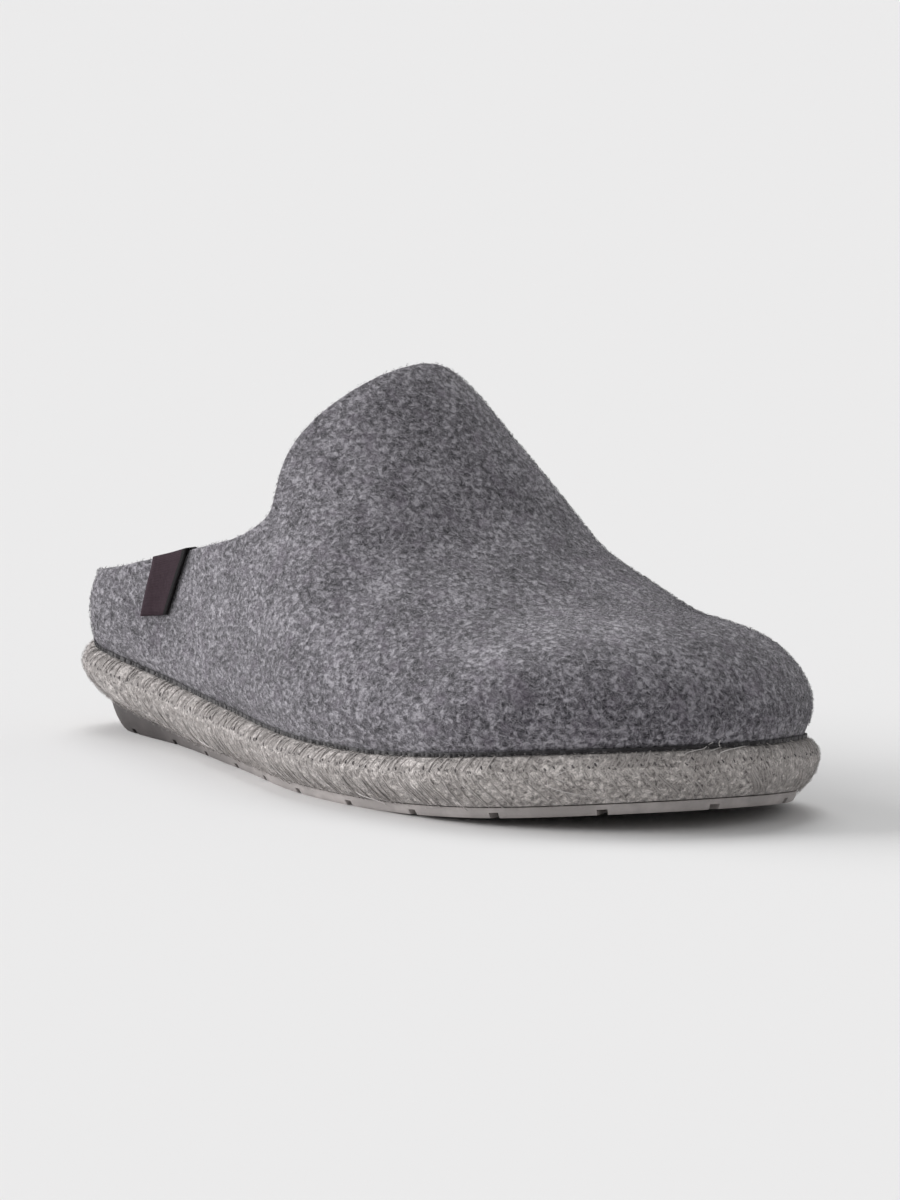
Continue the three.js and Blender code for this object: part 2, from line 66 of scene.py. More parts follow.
# How far each line of the sole's side lies inside the fullest outline
SEAT_INSET = 3.8
BAND_FOOT = 4.4
BAND_FOOT_HEEL = 8
RUBBER_STEP = 0.6
TREAD_EDGE = 6.2
TREAD_EDGE_HEEL = 15
RUBBER_SIDE = 2.5
RUBBER_SIDE_HEEL = 9.4

# Tread
NOTCH_PITCH = 27
NOTCH_WIDTH = 2.6
FIRST_NOTCH = 14
GROOVE_DEPTH = 1.3
CHANNEL_INSET = 22
CHANNEL_WIDTH = 2.4
CUTTER_BELOW = 1
SHARP_ANGLE = 35

# Felt upper
FELT_WALL = 2.8
UPPER_INSET = 1
UPPER_INSET_HEEL = 2.6
TUCK_HEIGHT = 11
EDGE_CROWN = 0.6
COLLAR_ROLL = 2.2
ROLL_HEIGHT = 9
PEAK_AT = 0.483
TOE_BOX_AT = 0.9
RIDGE_DRIFT = 12
HEEL_SHOULDER = 59
TOE_SHOULDER = 68
SHOULDER_POWER = 2.3
ROW_SPREAD = 1.15
STEEP_START = 3
STEADY_ROWS = 7
RIM_STEPS = 8
EDGE_ROUNDING = 0.9
EDGE_UNEVEN = 0.35
# Size and height of each kind of lump in the felt
FELT_LUMPS = ((26.0, 0.35), (7.0, 0.16), (2.6, 0.1))

# Loose fibres: how many on a piece, their length and thickness, how far they stand up, and their sizes
FIBRES = 32500
WOOL_HAIR = (0.92, 0.115)
JUTE_HAIR = (1.35, 0.075)
NAP_LIFT = (-0.1, 0.65)
FUZZ_LIFT = (-0.05, 0.5)
FIBRE_SIZES = (0.55, 1.25)
NAP_FROM_ROW = 3

# Footbed and label
INSOLE_THICKNESS = 5
INSOLE_DISH = 1.2
INSOLE_RIM = 11
INSOLE_ROUNDING = 0.6
INSOLE_EDGE_IN = 0.5
INSOLE_LUMP = 9.0
INSOLE_UNEVEN = 0.22
INSOLE_ROWS = 26
LABEL_FROM_HEEL = 61
LABEL_WIDTH = 16.6
LABEL_SPREAD = 6.2
LABEL_LEAN = 4.8
LABEL_DROP = 14.6
LABEL_SKEW = 1.1
LABEL_TURN = 11
LABEL_THICKNESS = 0.5
LABEL_PLAY = 0.15
LABEL_WAVE = 0.12
LABEL_RIPPLE = 9
LABEL_STEPS = 14
LABEL_ROWS = 12

# Braid: strands of plant fibre laid over the rounded side of the midsole
BRAID_DEPTH = 0.42
BASE_DEPTH = 0.17
HEEL_DRAWN_IN = 0.6
SEAM_DOWN = 0.38
UNIT_BAND = 11.5
STRAND_PITCH = 0.62
STRAND_RADIUS = 0.3
KNOT_PITCH = 1.3
PIT_PITCH = 2.6
LOOP_PITCH = 1.3
UPPER_STRAND_LEAN = 2.0
LOWER_STRAND_LEAN = 4.6
STRAND_SIDES = 5
STRAND_STEPS = 5
STRAND_TIP = 0.4
STRAND_SWELL = 0.45
STRAND_SWAY = 0.07
STRAND_SINK = 1.15
STRAND_FLAT = 0.8
BAND_ROWS = 20
SEAM_STITCH = 3.0
SEAM_THICKNESS = 1.05
SEAM_STEP_SHARE = 0.3
SEAM_ABOVE = 0.03
SEAM_PROUD = 0.75

# A strand turns with the line between its own place and one a little ahead
LOOK_AHEAD = 0.4
# How far strands stray from an even row: along it, up or down, and in direction and size
STRAY_ALONG = 0.35
STRAY_UP = 0.35
STRAY_TURN = 0.03
STRAY_SLANT = 0.05
STRAY_LEAN = 0.012
STRAY_WIDTH = 0.25
STRAY_HEIGHT = (-0.1, 0.02)

# Loose threads on the band
THREAD_STEPS = 14
THREAD_SIDES = 5
THREAD_RADIUS = 0.13
THREAD_LIFT = 1.0
THREAD_FOOT = 0.1

CLEARANCE = 0.3
SIDE_STEPS = 150
FINE_STEPS = 240
WALL_ROWS = 92
OUTER = -1
INNER = 1

PLAN = {
    "at": (0.0, 0.2, 0.4, 0.6, 0.72, 0.85, 1.0),
    "heel": (1.02, 0.98, 0.6, 0.15, 0.0, 0.0, 0.0),
    "ball": (0.0, 0.0, 0.36, 0.84, 1.0, 0.985, 0.853),
    "outer": (0.506, 0.495, 0.517, 0.529, 0.507, 0.489, 0.48),
}
TREAD = {
    "at": (0.0, 0.29, 0.39, 0.49, 0.72, 0.86, 1.0),
    "arch": (0.0, 0.0, 1.0, 0.0, 0.0, 0.0, 0.0),
    "toe": (0.0, 0.0, 0.0, 0.0, 0.0, 0.3, 1.0),
}
SEAT = {"at": (0.0, 0.3, 0.7, 1.0), "height": (HEEL_SEAT, WAIST_SEAT, BALL_SEAT, TOE_SEAT)}
HEEL_SHAPE = {
    "at": (0.0, 0.07, 0.13, 0.2, 0.3, 1.0),
    "inset": (1.0, 0.62, 0.3, 0.12, 0.0, 0.0),
    "rise": (1.0, 0.92, 0.6, 0.27, 0.0, 0.0),
}
BAND = {
    "down": (1.0, 0.8, 0.58, 0.36, 0.17, 0.05, 0.0),
    "top": (0.0, 0.0, 0.0, 0.0, 0.18, 0.56, 1.0),
    "foot": (1.0, 0.5, 0.15, 0.0, 0.0, 0.0, 0.0),
}
RUBBER = {
    "up": (0.0, 0.1, 0.22, 0.45, 0.68, 0.86, 1.0),
    "taper": (1.0, 0.76, 0.58, 0.32, 0.14, 0.04, 0.0),
}
CREST = {
    "at": (0.0, 0.3, 0.42, PEAK_AT, 0.52, 0.62, 0.72, 0.82, 0.91, 1.0),
    "instep": (1.1, 1.07, 1.07, 1.0, 0.92, 0.65, 0.3, 0.06, 0.0, 0.0),
    "toe": (0.0, 0.0, 0.0, 0.0, 0.0, 0.0, 0.52, 0.95, 1.13, 1.1),
    "drift": (0.0, 0.2, 0.42, 0.56, 0.66, 0.88, 1.0, 1.0, 0.95, 0.9),
    "outer": (2.4, 2.3, 1.95, 1.8, 1.8, 1.95, 2.15, 2.2, 2.2, 2.2),
    "inner": (2.4, 2.35, 2.2, 2.1, 2.1, 2.3, 2.4, 2.45, 2.45, 2.45),
    "top": (2.1, 2.0, 1.88, 1.85, 1.87, 2.2, 2.6, 2.7, 2.75, 2.75),
}
COLLAR = {
    "along": (0.0, 0.08, 0.18, 0.3, 0.415, 0.46, 0.449, PEAK_AT),
    "rise": (0.0, 0.015, 0.088, 0.188, 0.29, 0.42, 0.62, 1.0),
}
UPRIGHTS = {"at": (0.0, 0.2, 0.38, 1.0), "collar": (0.0, 0.27, 0.52, 1.0)}


# Helpers for forms
def mix(start, end, share):
    return start + (end - start) * share


def clamp(value):
    return np.clip(value, 0.0, 1.0)


def curve(table, column):
    """A smooth curve through one column of a table, without overshoot between the rows."""
    at = np.array(table["at"], float)
    value = np.array(table[column], float)
    slope = np.diff(value) / np.diff(at)
    both = slope[:-1] * slope[1:]
    total = np.where(slope[:-1] + slope[1:] == 0, 1.0, slope[:-1] + slope[1:])
    tangent = np.concatenate([slope[:1], np.where(both > 0, 2 * both / total, 0.0), slope[-1:]])

    def value_at(x):
        x = np.asarray(x, float)
        i = np.clip(np.searchsorted(at, x, side="left") - 1, 0, len(slope) - 1)
        span = at[i + 1] - at[i]
        t = clamp((x - at[i]) / span)
        bend = (1 - t) ** 2 * t * tangent[i] - (1 - t) * t**2 * tangent[i + 1]
        return mix(value[i], value[i + 1], t * t * (3 - 2 * t)) + span * bend

    return value_at


def curves(table):
    """A curve through each column of a table, in the table's order."""
    return [curve(table, column) for column in table if column != "at"]


def rounding(distance, power):
    """Grows from 0 to 1 over a distance of 1, like the end of a superellipse."""
    return (1 - (1 - clamp(distance)) ** power) ** (1 / power)


def measured(points):
    """How far along a line each of its points lies."""
    steps = np.linalg.norm(np.diff(points, axis=0), axis=1)
    return np.concatenate([[0.0], np.cumsum(steps)])


def spread(points, distances):
    """Points at the given distances along a line."""
    along = measured(points)
    return np.stack([np.interp(distances, along, points[:, k]) for k in range(3)], axis=1)


def unit(vectors):
    return vectors / np.maximum(np.linalg.norm(vectors, axis=-1, keepdims=True), 1e-9)


# Lines of the sole
tread_arch, tread_toe = curves(TREAD)
heel_inset, heel_rise = curves(HEEL_SHAPE)
width_of_heel, width_of_ball, outer_part = curves(PLAN)
seat_height = curve(SEAT, "height")


def tread_z(x, side):
    arch = np.where(side == INNER, ARCH_RISE * tread_arch(x / LENGTH), 0.0)
    return arch + TOE_SPRING * tread_toe(x / LENGTH)


def rubber_top_z(x, side):
    return tread_z(x, side) + mix(RUBBER_SIDE, RUBBER_SIDE_HEEL, heel_rise(x / LENGTH))


def seat_z(x):
    return seat_height(x / LENGTH)


def toward_heel(usual, at_heel):
    """A measure along the foot that grows to another one round the heel."""
    return lambda share: mix(usual, at_heel, heel_inset(share))


band_foot = toward_heel(BAND_FOOT, BAND_FOOT_HEEL)
tread_edge = toward_heel(TREAD_EDGE, TREAD_EDGE_HEEL)
upper_inset = toward_heel(UPPER_INSET, UPPER_INSET_HEEL)


def evenly(inset):
    return lambda share: inset + 0.0 * np.asarray(share, float)


def edge_y(x, side, inset):
    """Y of the outline at X, on one side, drawn in by an inset."""
    share = x / LENGTH
    width = HEEL_WIDTH * width_of_heel(share) + BALL_WIDTH * width_of_ball(share)
    part = np.where(side == OUTER, outer_part(share), 1 - outer_part(share))
    heel = rounding((x - inset(0.0)) / (HEEL_ROUND - inset(0.0)), HEEL_POWER)
    toe = rounding((LENGTH - inset(1.0) - x) / (TOE_ROUND - inset(1.0)), TOE_POWER)
    drift = TOE_DRIFT * clamp(2 * share - 1) ** 2
    return drift + side * (width * part - inset(share)) * heel * toe


def outline(inset, height_at, steps=SIDE_STEPS):
    """Closed line round the sole: back of the heel, outer side, toe, inner side."""
    i = np.arange(2 * steps)
    side = np.where(i <= steps, OUTER, INNER)
    x = mix(inset(0.0), LENGTH - inset(1.0), (1 - np.cos(math.pi * i / steps)) / 2)
    return np.stack([x, edge_y(x, side, inset), height_at(x, side)], axis=1)


fullest = outline(evenly(0), lambda x, side: seat_z(x))
MIDDLE = np.array([LENGTH / 2, (fullest[:, 1].min() + fullest[:, 1].max()) / 2, 0.0])


# Meshes
def in_scene(name, data):
    """An object of the scene that holds this mesh, light or camera."""
    made = bpy.data.objects.new(name, data)
    bpy.context.scene.collection.objects.link(made)
    return made


def finished(mesh, material):
    """Smooth shading and one material."""
    mesh.polygons.foreach_set("use_smooth", [True] * len(mesh.polygons))
    mesh.materials.clear()
    if material:
        mesh.materials.append(material)
    mesh.update()
    return mesh


def evaluated(item):
    """A plain mesh of an object with its modifiers applied."""
    depsgraph = bpy.context.evaluated_depsgraph_get()
    return bpy.data.meshes.new_from_object(item.evaluated_get(depsgraph))


def mesh_object(name, points, faces, material=None):
    """An object whose mesh has these points, in millimetres, smoothly shaded."""
    mesh = bpy.data.meshes.new(name)
    mesh.from_pydata(((np.asarray(points) - MIDDLE) * MM).tolist(), [], faces)
    return in_scene(name, finished(mesh, material))


def wall_faces(count, lower, upper, closed=True):
    """Faces between two lines of points, facing outward when the second lies higher."""
    i = np.arange(count if closed else count - 1)
    following = (i + 1) % count
    low, high = lower * count, upper * count
    return np.stack([low + i, low + following, high + following, high + i], axis=1).tolist()


def walls(count, rows, closed=True):
    """Faces between each line of points and the next."""
    faces = []
    for k in range(rows - 1):
        faces += wall_faces(count, k, k + 1, closed)
    return faces


def lid_faces(count, row, up):
    """Faces that close a line of points across, from one side to the other."""
    faces = []
    for i in range(count // 2):
        across = count - i - 1
        face = [row * count + k for k in dict.fromkeys((i, i + 1, across, (across + 1) % count))]
        if len(face) > 2:
            faces.append(face if up else face[::-1])
    return faces


def tube_faces(sides, rings, first=0):
    """Faces of a tube of rings of points, closed at both ends."""
    ends = [list(range(sides))[::-1], [(rings - 1) * sides + j for j in range(sides)]]
    return [[first + corner for corner in face] for face in walls(sides, rings) + ends]


def lay_map(made, title, places):
    """A UV map with one place for each point of a mesh."""
    layer = made.data.uv_layers.new(name=title)
    for loop in made.data.loops:
        layer.data[loop.index].uv = places[loop.vertex_index]


models = []


def model_object(name, points, faces):
    """A small form round its own origin, kept out of the scene, that Geometry Nodes make copies of."""
    made = mesh_object(name, np.array(points) + MIDDLE, faces)
    bpy.context.scene.collection.objects.unlink(made)
    models.append(made)
    return made


def stack(name, rings, material=None):
    """A solid from closed lines stacked upward, closed at both ends."""
    count = len(rings[0])
    faces = lid_faces(count, 0, False) + lid_faces(count, len(rings) - 1, True) + walls(count, len(rings))
    return mesh_object(name, np.concatenate(rings), faces, material)


def shell(name, rings, material=None):
    """A hollow solid from closed lines that go up the outside and down the inside."""
    count = len(rings[0])
    faces = walls(count, len(rings)) + wall_faces(count, len(rings) - 1, 0)
    return mesh_object(name, np.concatenate(rings), faces, material)


def unevenness(points, size, seed):
    """Soft random heights from -1 to 1 over points, with lumps of about the given size."""
    offset = Vector((seed * 17.3, seed * 5.1, seed * 9.7))
    return np.array([noise.noise(Vector(point) / size + offset) for point in points.reshape(-1, 3)])


# Form of the upper: a dome over the last, cut open at the collar
instep_share, toe_share, crest_drift, outer_squareness, inner_squareness, crest_top = curves(CREST)


def upper_floor_z(x):
    return seat_z(x) + CLEARANCE


def crest_y(x):
    return RIDGE_DRIFT * crest_drift(x / LENGTH)


def squareness(x, side):
    return np.where(side == OUTER, outer_squareness(x / LENGTH), inner_squareness(x / LENGTH))


INSTEP_RISE = INSTEP_HEIGHT - upper_floor_z(PEAK_AT * LENGTH)
TOE_RISE = TOE_HEIGHT - upper_floor_z(TOE_BOX_AT * LENGTH)


def crest_rise(x):
    rise = INSTEP_RISE * instep_share(x / LENGTH) + TOE_RISE * toe_share(x / LENGTH)
    heel = rounding((x - UPPER_INSET_HEEL) / HEEL_SHOULDER, SHOULDER_POWER)
    toe = rounding((LENGTH - UPPER_INSET - x) / TOE_SHOULDER, SHOULDER_POWER)
    return rise * heel * toe


def dome_z(x, y, side):
    """Height of the dome over a point of the plan."""
    reach = edge_y(x, side, upper_inset) - crest_y(x)
    out = clamp((y - crest_y(x)) / np.where(reach == 0, 1e-9, reach))
    fall = (1 - out ** squareness(x, side)) ** (1 / crest_top(x / LENGTH))
    return upper_floor_z(x) + crest_rise(x) * fall


def dome_y(x, z, side):
    """Where the dome has a given height, on one side."""
    rise = clamp((z - upper_floor_z(x)) / crest_rise(x))
    out = (1 - rise ** crest_top(x / LENGTH)) ** (1 / squareness(x, side))
    return mix(crest_y(x), edge_y(x, side, upper_inset), out)


def collar_line(side):
    """Collar on one side, from the back of the heel to the peak."""
    x = np.array(COLLAR["along"]) * LENGTH
    z = mix(COLLAR_BACK, INSTEP_HEIGHT, np.array(COLLAR["rise"]))
    seen = {"at": measured(np.stack([x, z], axis=1)), "x": x, "z": z}
    x_at = curve(seen, "x")
    z_at = curve(seen, "z")
    end = seen["at"][-1]
    tries = np.linspace(0, end, 8 * FINE_STEPS + 1)[:-1]
    reached = upper_floor_z(x_at(tries)) + crest_rise(x_at(tries)) >= z_at(tries)
    start = tries[np.argmax(reached)]
    at = mix(start, end, (1 - np.cos(math.pi * np.linspace(0, 1, FINE_STEPS + 1))) / 2)
    y = dome_y(x_at(at), z_at(at), side)
    y[0] = crest_y(x_at(at[0]))
    y[-1] = crest_y(x_at(at[-1]))
    return np.stack([x_at(at), y, z_at(at)], axis=1)


def inward(points):
    """Level directions from points of the wall toward the middle of the foot."""
    x, y = points[..., 0], points[..., 1]
    middle = np.clip(x, HEEL_ROUND, LENGTH - TOE_ROUND)
    return unit(np.stack([middle - x, crest_y(x) - y, np.zeros_like(x)], axis=-1))


def uprights(side, steps, rows):
    """The outer face of the wall on one side, as upright lines from the sole to the collar."""
    round_sole = outline(upper_inset, lambda x, own_side: upper_floor_z(x), FINE_STEPS)
    if side == OUTER:
        half = round_sole[: FINE_STEPS + 1]
    else:
        half = np.concatenate([round_sole[:1], round_sole[FINE_STEPS:][::-1]])
    shares = np.linspace(0, 1, steps + 1)
    feet = spread(half, shares * measured(half)[-1])
    collar = collar_line(side)
    heads = spread(collar, curve(UPRIGHTS, "collar")(shares) * measured(collar)[-1])
    along = np.linspace(0, 1, FINE_STEPS + 1) ** STEEP_START
    lines = feet[:, None, :] + (heads - feet)[:, None, :] * along[None, :, None]
    lines[:, 1:-1, 2] = dome_z(lines[:, 1:-1, 0], lines[:, 1:-1, 1], side)
    row_shares = np.linspace(0, 1, rows + 1) ** ROW_SPREAD
    wall = np.stack([spread(line, row_shares * measured(line)[-1]) for line in lines])
    height = wall[..., 2] - upper_floor_z(wall[..., 0])
    tuck = (SEAT_INSET - upper_inset(wall[..., 0] / LENGTH)) * clamp(1 - height / TUCK_HEIGHT) ** 2
    down = heads[:, None, 2] - wall[..., 2]
    at_heel = heel_inset(heads[:, 0] / LENGTH)[:, None]
    roll = COLLAR_ROLL * at_heel * clamp(1 - down / ROLL_HEIGHT) ** 2
    return wall + inward(wall) * (tuck + roll)[..., None]


def felt_faces(steps, rows):
    """Outer and inner face of the felt, each as level lines from the sole up to the collar."""
    outer_side = uprights(OUTER, steps, rows)
    inner_side = uprights(INNER, steps, rows)
    face = np.concatenate([outer_side, inner_side[1:steps][::-1]]).transpose(1, 0, 2)
    ahead = np.roll(face, -1, axis=1) - np.roll(face, 1, axis=1)
    up = np.empty_like(face)
    up[1:-1] = face[2:] - face[:-2]
    up[0] = face[1] - face[0]
    up[-1] = face[-1] - face[-2]
    out = unit(np.cross(ahead, up))
    # The topmost rows run almost along the collar, so they keep the facing of the row below them
    out[-STEADY_ROWS:] = out[-STEADY_ROWS - 1]
    inside = face - FELT_WALL * out
    inside[0] = face[0] + FELT_WALL * inward(face[0])
    inside[0, :, 2] = upper_floor_z(inside[0, :, 0])
    return face, inside, out


felt_outside, felt_inside, felt_out = felt_faces(SIDE_STEPS, WALL_ROWS)


# Materials
def add(tree, kind, inputs=None, **settings):
    """A shader or geometry node with these settings. An input takes a value or another node's output."""
    made = tree.nodes.new(kind)
    for key, value in settings.items():
        setattr(made, key, value)
    for key, value in (inputs or {}).items():
        if isinstance(value, bpy.types.NodeSocket):
            tree.links.new(value, made.inputs[key])
        else:
            made.inputs[key].default_value = value
    return made


def blend(tree, share, first, second):
    """Colour between two colours."""
    inputs = {0: share, 6: first, 7: second}
    return add(tree, "ShaderNodeMix", inputs, data_type="RGBA", clamp_result=True).outputs[2]


def calculate(tree, kind, first, second=0.0, third=0.0):
    return add(tree, "ShaderNodeMath", {0: first, 1: second, 2: third}, operation=kind).outputs[0]


def vector(tree, kind, first, second):
    return add(tree, "ShaderNodeVectorMath", {0: first, 1: second}, operation=kind).outputs[0]


def ramp(tree, value, low, high, start=0.0, end=1.0):
    """The value stretched from low..high to start..end, and held there."""
    inputs = {"Value": value, "From Min": low, "From Max": high, "To Min": start, "To Max": end}
    return add(tree, "ShaderNodeMapRange", inputs).outputs["Result"]


def cloud(tree, place, grain, detail=2.0, roughness=0.5):
    """Soft noise with lumps of about the given size in millimetres."""
    inputs = {"Vector": place, "Scale": 0.6 / (grain * MM), "Detail": detail, "Roughness": roughness}
    return add(tree, "ShaderNodeTexNoise", inputs).outputs["Fac"]


def new_tree(name, kind, inputs, outputs):
    """An empty group of nodes, with the sockets inside it that give its inputs and take its outputs."""
    tree = bpy.data.node_groups.new(name, kind)
    for way, sockets in (("INPUT", inputs), ("OUTPUT", outputs)):
        for title, socket in sockets.items():
            tree.interface.new_socket(title, in_out=way, socket_type="NodeSocket" + socket)
    return tree, tree.nodes.new("NodeGroupInput").outputs, tree.nodes.new("NodeGroupOutput").inputs


PATTERN = {"Color": "Color", "Height": "Float"}
# The fibres lie a little more along the foot than across it, and they curl
FIBRE_STRETCH = (0.72, 1.15, 1.15)
CURL_SCALE = 420.0
CURL_REACH = 0.0022
WOOL_GRAIN = 0.5
WOOL_CLUMP = 0.92
WOOL_PATCH = 8.5
FLECK_SIZE = 3.4
GRAIN_SHARE = 0.4
CLUMP_SHARE = 0.6
PATCH_SHARE = 0.2
# Seed, size and colour of each layer of single fibres
FIBRE_LAYERS = ((3.0, 1.3, "Light"), (11.0, 1.1, "Dark"), (23.0, 0.7, "Light"))


def wool_group():
    """Mottled wool: dark and light fibres mixed at a fine grain, with soft patches and coloured flecks."""
    inputs = {"Place": "Vector", "Dark": "Color", "Middle": "Color", "Light": "Color", "Fleck": "Color"}
    tree, given, result = new_tree("mottled wool", "ShaderNodeTree", inputs, PATTERN)
    place = vector(tree, "MULTIPLY", given["Place"], FIBRE_STRETCH)
    bend = add(tree, "ShaderNodeTexNoise", {"Vector": place, "Scale": CURL_SCALE, "Detail": 2.0})
    shift = vector(tree, "SUBTRACT", bend.outputs["Color"], (0.5, 0.5, 0.5))
    curled = vector(tree, "ADD", place, vector(tree, "MULTIPLY", shift, (CURL_REACH,) * 3))
    grain = cloud(tree, curled, WOOL_GRAIN, 4.0, 0.65)
    clumps = cloud(tree, curled, WOOL_CLUMP, 3.0, 0.55)
    patches = cloud(tree, place, WOOL_PATCH, 3.0, 0.55)
    light = calculate(tree, "MULTIPLY", clumps, CLUMP_SHARE)
    light = calculate(tree, "MULTIPLY_ADD", grain, GRAIN_SHARE, light)
    light = calculate(tree, "MULTIPLY_ADD", calculate(tree, "SUBTRACT", patches, 0.5), PATCH_SHARE, light)
    shade = blend(tree, ramp(tree, light, 0.38, 0.5), given["Dark"], given["Middle"])
    shade = blend(tree, ramp(tree, light, 0.5, 0.62), shade, given["Light"])
    for seed, size, colour in FIBRE_LAYERS:
        fibres = cloud(tree, vector(tree, "ADD", curled, (seed,) * 3), size, 1.0)
        ridge = calculate(tree, "ABSOLUTE", calculate(tree, "SUBTRACT", fibres, 0.5))
        shade = blend(tree, ramp(tree, ridge, 0.0, 0.03, 0.5, 0.0), shade, given[colour])
    flecks = ramp(tree, cloud(tree, curled, FLECK_SIZE), 0.52, 0.72, 0.0, 0.4)
    tree.links.new(blend(tree, flecks, shade, given["Fleck"]), result["Color"])
    tree.links.new(light, result["Height"])
    return tree


def streak_group():
    """Plant fibre: fine streaks along a strand, and strands of slightly different tone."""
    inputs = {"Along": "Float", "Around": "Float", "Tone": "Float", "Dark": "Color", "Light": "Color"}
    tree, given, result = new_tree("fibre streaks", "ShaderNodeTree", inputs, PATTERN)
    twist = calculate(tree, "MULTIPLY_ADD", given["Along"], 0.55, given["Around"])
    inputs = {
        "X": calculate(tree, "MULTIPLY", twist, 14.0),
        "Y": calculate(tree, "MULTIPLY", given["Along"], 2.5),
        "Z": calculate(tree, "MULTIPLY", given["Tone"], 40.0),
    }
    place = add(tree, "ShaderNodeCombineXYZ", inputs).outputs[0]
    streaks = add(tree, "ShaderNodeTexNoise", {"Vector": place, "Scale": 1.0, "Detail": 3.0}).outputs["Fac"]
    light = calculate(tree, "MULTIPLY_ADD", given["Tone"], 0.5, ramp(tree, streaks, 0.3, 0.7, 0.0, 0.5))
    tree.links.new(blend(tree, light, given["Dark"], given["Light"]), result["Color"])
    tree.links.new(streaks, result["Height"])
    return tree


WOOL = wool_group()
STREAKS = streak_group()


def new_material(name, **constants):
    """A material, its tree and its surface shader with these values on its own sockets."""
    material = bpy.data.materials.new(name)
    material.use_nodes = True
    tree = material.node_tree
    surface = tree.nodes["Principled BSDF"]
    for key, value in constants.items():
        surface.inputs[key.replace("_", " ")].default_value = value
    return material, tree, surface


def own_place(tree):
    return add(tree, "ShaderNodeTexCoord").outputs["Object"]


def own_tone(tree):
    return add(tree, "ShaderNodeAttribute", attribute_name="tone").outputs["Fac"]


def on_map(tree, title):
    """Place on a UV map, as separate numbers."""
    place = add(tree, "ShaderNodeUVMap", uv_map=title).outputs[0]
    return add(tree, "ShaderNodeSeparateXYZ", {0: place}).outputs


def raise_surface(tree, surface, height, strength, depth):
    """Relief of the given depth in millimetres."""
    bump = add(tree, "ShaderNodeBump", {"Height": height, "Strength": strength, "Distance": depth * MM})
    tree.links.new(bump.outputs["Normal"], surface.inputs["Normal"])


def mottled(tree, colours):
    """The mottled pattern where the surface lies, in these dark, middle, light and fleck colours."""
    inputs = {"Place": own_place(tree), **dict(zip(("Dark", "Middle", "Light", "Fleck"), colours))}
    return add(tree, "ShaderNodeGroup", inputs, node_tree=WOOL).outputs


def felt_material(name, colours, roughened=0.9):
    settings = {"Roughness": 1.0, "Specular_IOR_Level": 0.12, "Sheen_Weight": 0.25, "Sheen_Roughness": 0.6}
    material, tree, surface = new_material(name, **settings)
    pattern = mottled(tree, colours)
    tree.links.new(pattern["Color"], surface.inputs["Base Color"])
    raise_surface(tree, surface, pattern["Height"], roughened, 0.9)
    return material


def fibre_material(name, colours, own_share):
    """Loose fibres: each takes part of its colour from the surface under it and part from its own tone."""
    material, tree, surface = new_material(name, Roughness=0.75, Specular_IOR_Level=0.3, Sheen_Weight=0.2)
    own = blend(tree, calculate(tree, "POWER", own_tone(tree), 1.3), colours[0], colours[2])
    colour = blend(tree, own_share, mottled(tree, colours)["Color"], own)
    tree.links.new(colour, surface.inputs["Base Color"])
    return material


def strand_material(name, dark, light):
    """Strands of the braid, with streaks along them from their own UV map."""
    material, tree, surface = new_material(name, Roughness=0.6, Specular_IOR_Level=0.45, Sheen_Weight=0.15)
    place = on_map(tree, "strand")
    inputs = {"Around": place["X"], "Along": place["Y"], "Tone": own_tone(tree), "Dark": dark, "Light": light}
    streaks = add(tree, "ShaderNodeGroup", inputs, node_tree=STREAKS).outputs
    tree.links.new(streaks["Color"], surface.inputs["Base Color"])
    raise_surface(tree, surface, streaks["Height"], 0.6, 0.3)
    return material


def rubber_material():
    """Matt grey-brown rubber with a fine grain, scuffed in places, with painted light that makes its side
    lighter toward the toe.
    """
    material, tree, surface = new_material("rubber", Specular_IOR_Level=0.4)
    place = own_place(tree)
    scuffs = ramp(tree, cloud(tree, place, 6.0, 4.0, 0.6), 0.42, 0.68)
    clean = blend(tree, scuffs, CLEAN_RUBBER, SCUFFED_RUBBER)
    along = add(tree, "ShaderNodeSeparateXYZ", {0: place}).outputs["X"]
    # Painted light: the rubber's side grows lighter toward the toe
    toward_toe = ramp(tree, along, PAINTED_LIGHT_FROM, PAINTED_LIGHT_TO, 0.0, 0.9)
    painted_light = calculate(tree, "MULTIPLY", toward_toe, ramp(tree, scuffs, 0.0, 1.0, 0.7, 1.0))
    tree.links.new(blend(tree, painted_light, clean, PAINTED_TOE_LIGHT), surface.inputs["Base Color"])
    tree.links.new(ramp(tree, scuffs, 0.0, 1.0, 0.62, 0.82), surface.inputs["Roughness"])
    raise_surface(tree, surface, cloud(tree, place, 0.5, 3.0, 0.6), 0.35, 0.25)
    return material


def ribbon_material():
    """Woven ribbon, dark brown, with painted shadow as a black strip along its edge toward the toe, where it
    stands off the felt.
    """
    material, tree, surface = new_material("label ribbon", Roughness=0.85, Specular_IOR_Level=0.1)
    place = on_map(tree, "ribbon")
    weave = 0.5
    for axis, threads, height in RIBBON_WEAVE:
        wave = calculate(tree, "SINE", calculate(tree, "MULTIPLY", place[axis], 2 * math.pi * threads))
        weave = calculate(tree, "MULTIPLY_ADD", wave, height, weave)
    fuzz = cloud(tree, own_place(tree), 0.8, 3.0, 0.6)
    cloth = blend(tree, weave, RIBBON_DARK, RIBBON_LIGHT)
    cloth = blend(tree, ramp(tree, fuzz, 0.35, 0.7, 0.0, 0.35), cloth, RIBBON_FUZZ)
    # Painted shadow: a black strip along the ribbon's edge toward the toe
    edge_shadow = ramp(tree, place["X"], LABEL_WIDTH - 2.4, LABEL_WIDTH - 2.0)
    tree.links.new(blend(tree, edge_shadow, cloth, PAINTED_EDGE_SHADOW), surface.inputs["Base Color"])
    raise_surface(tree, surface, weave, 0.7, 0.12)
    return material
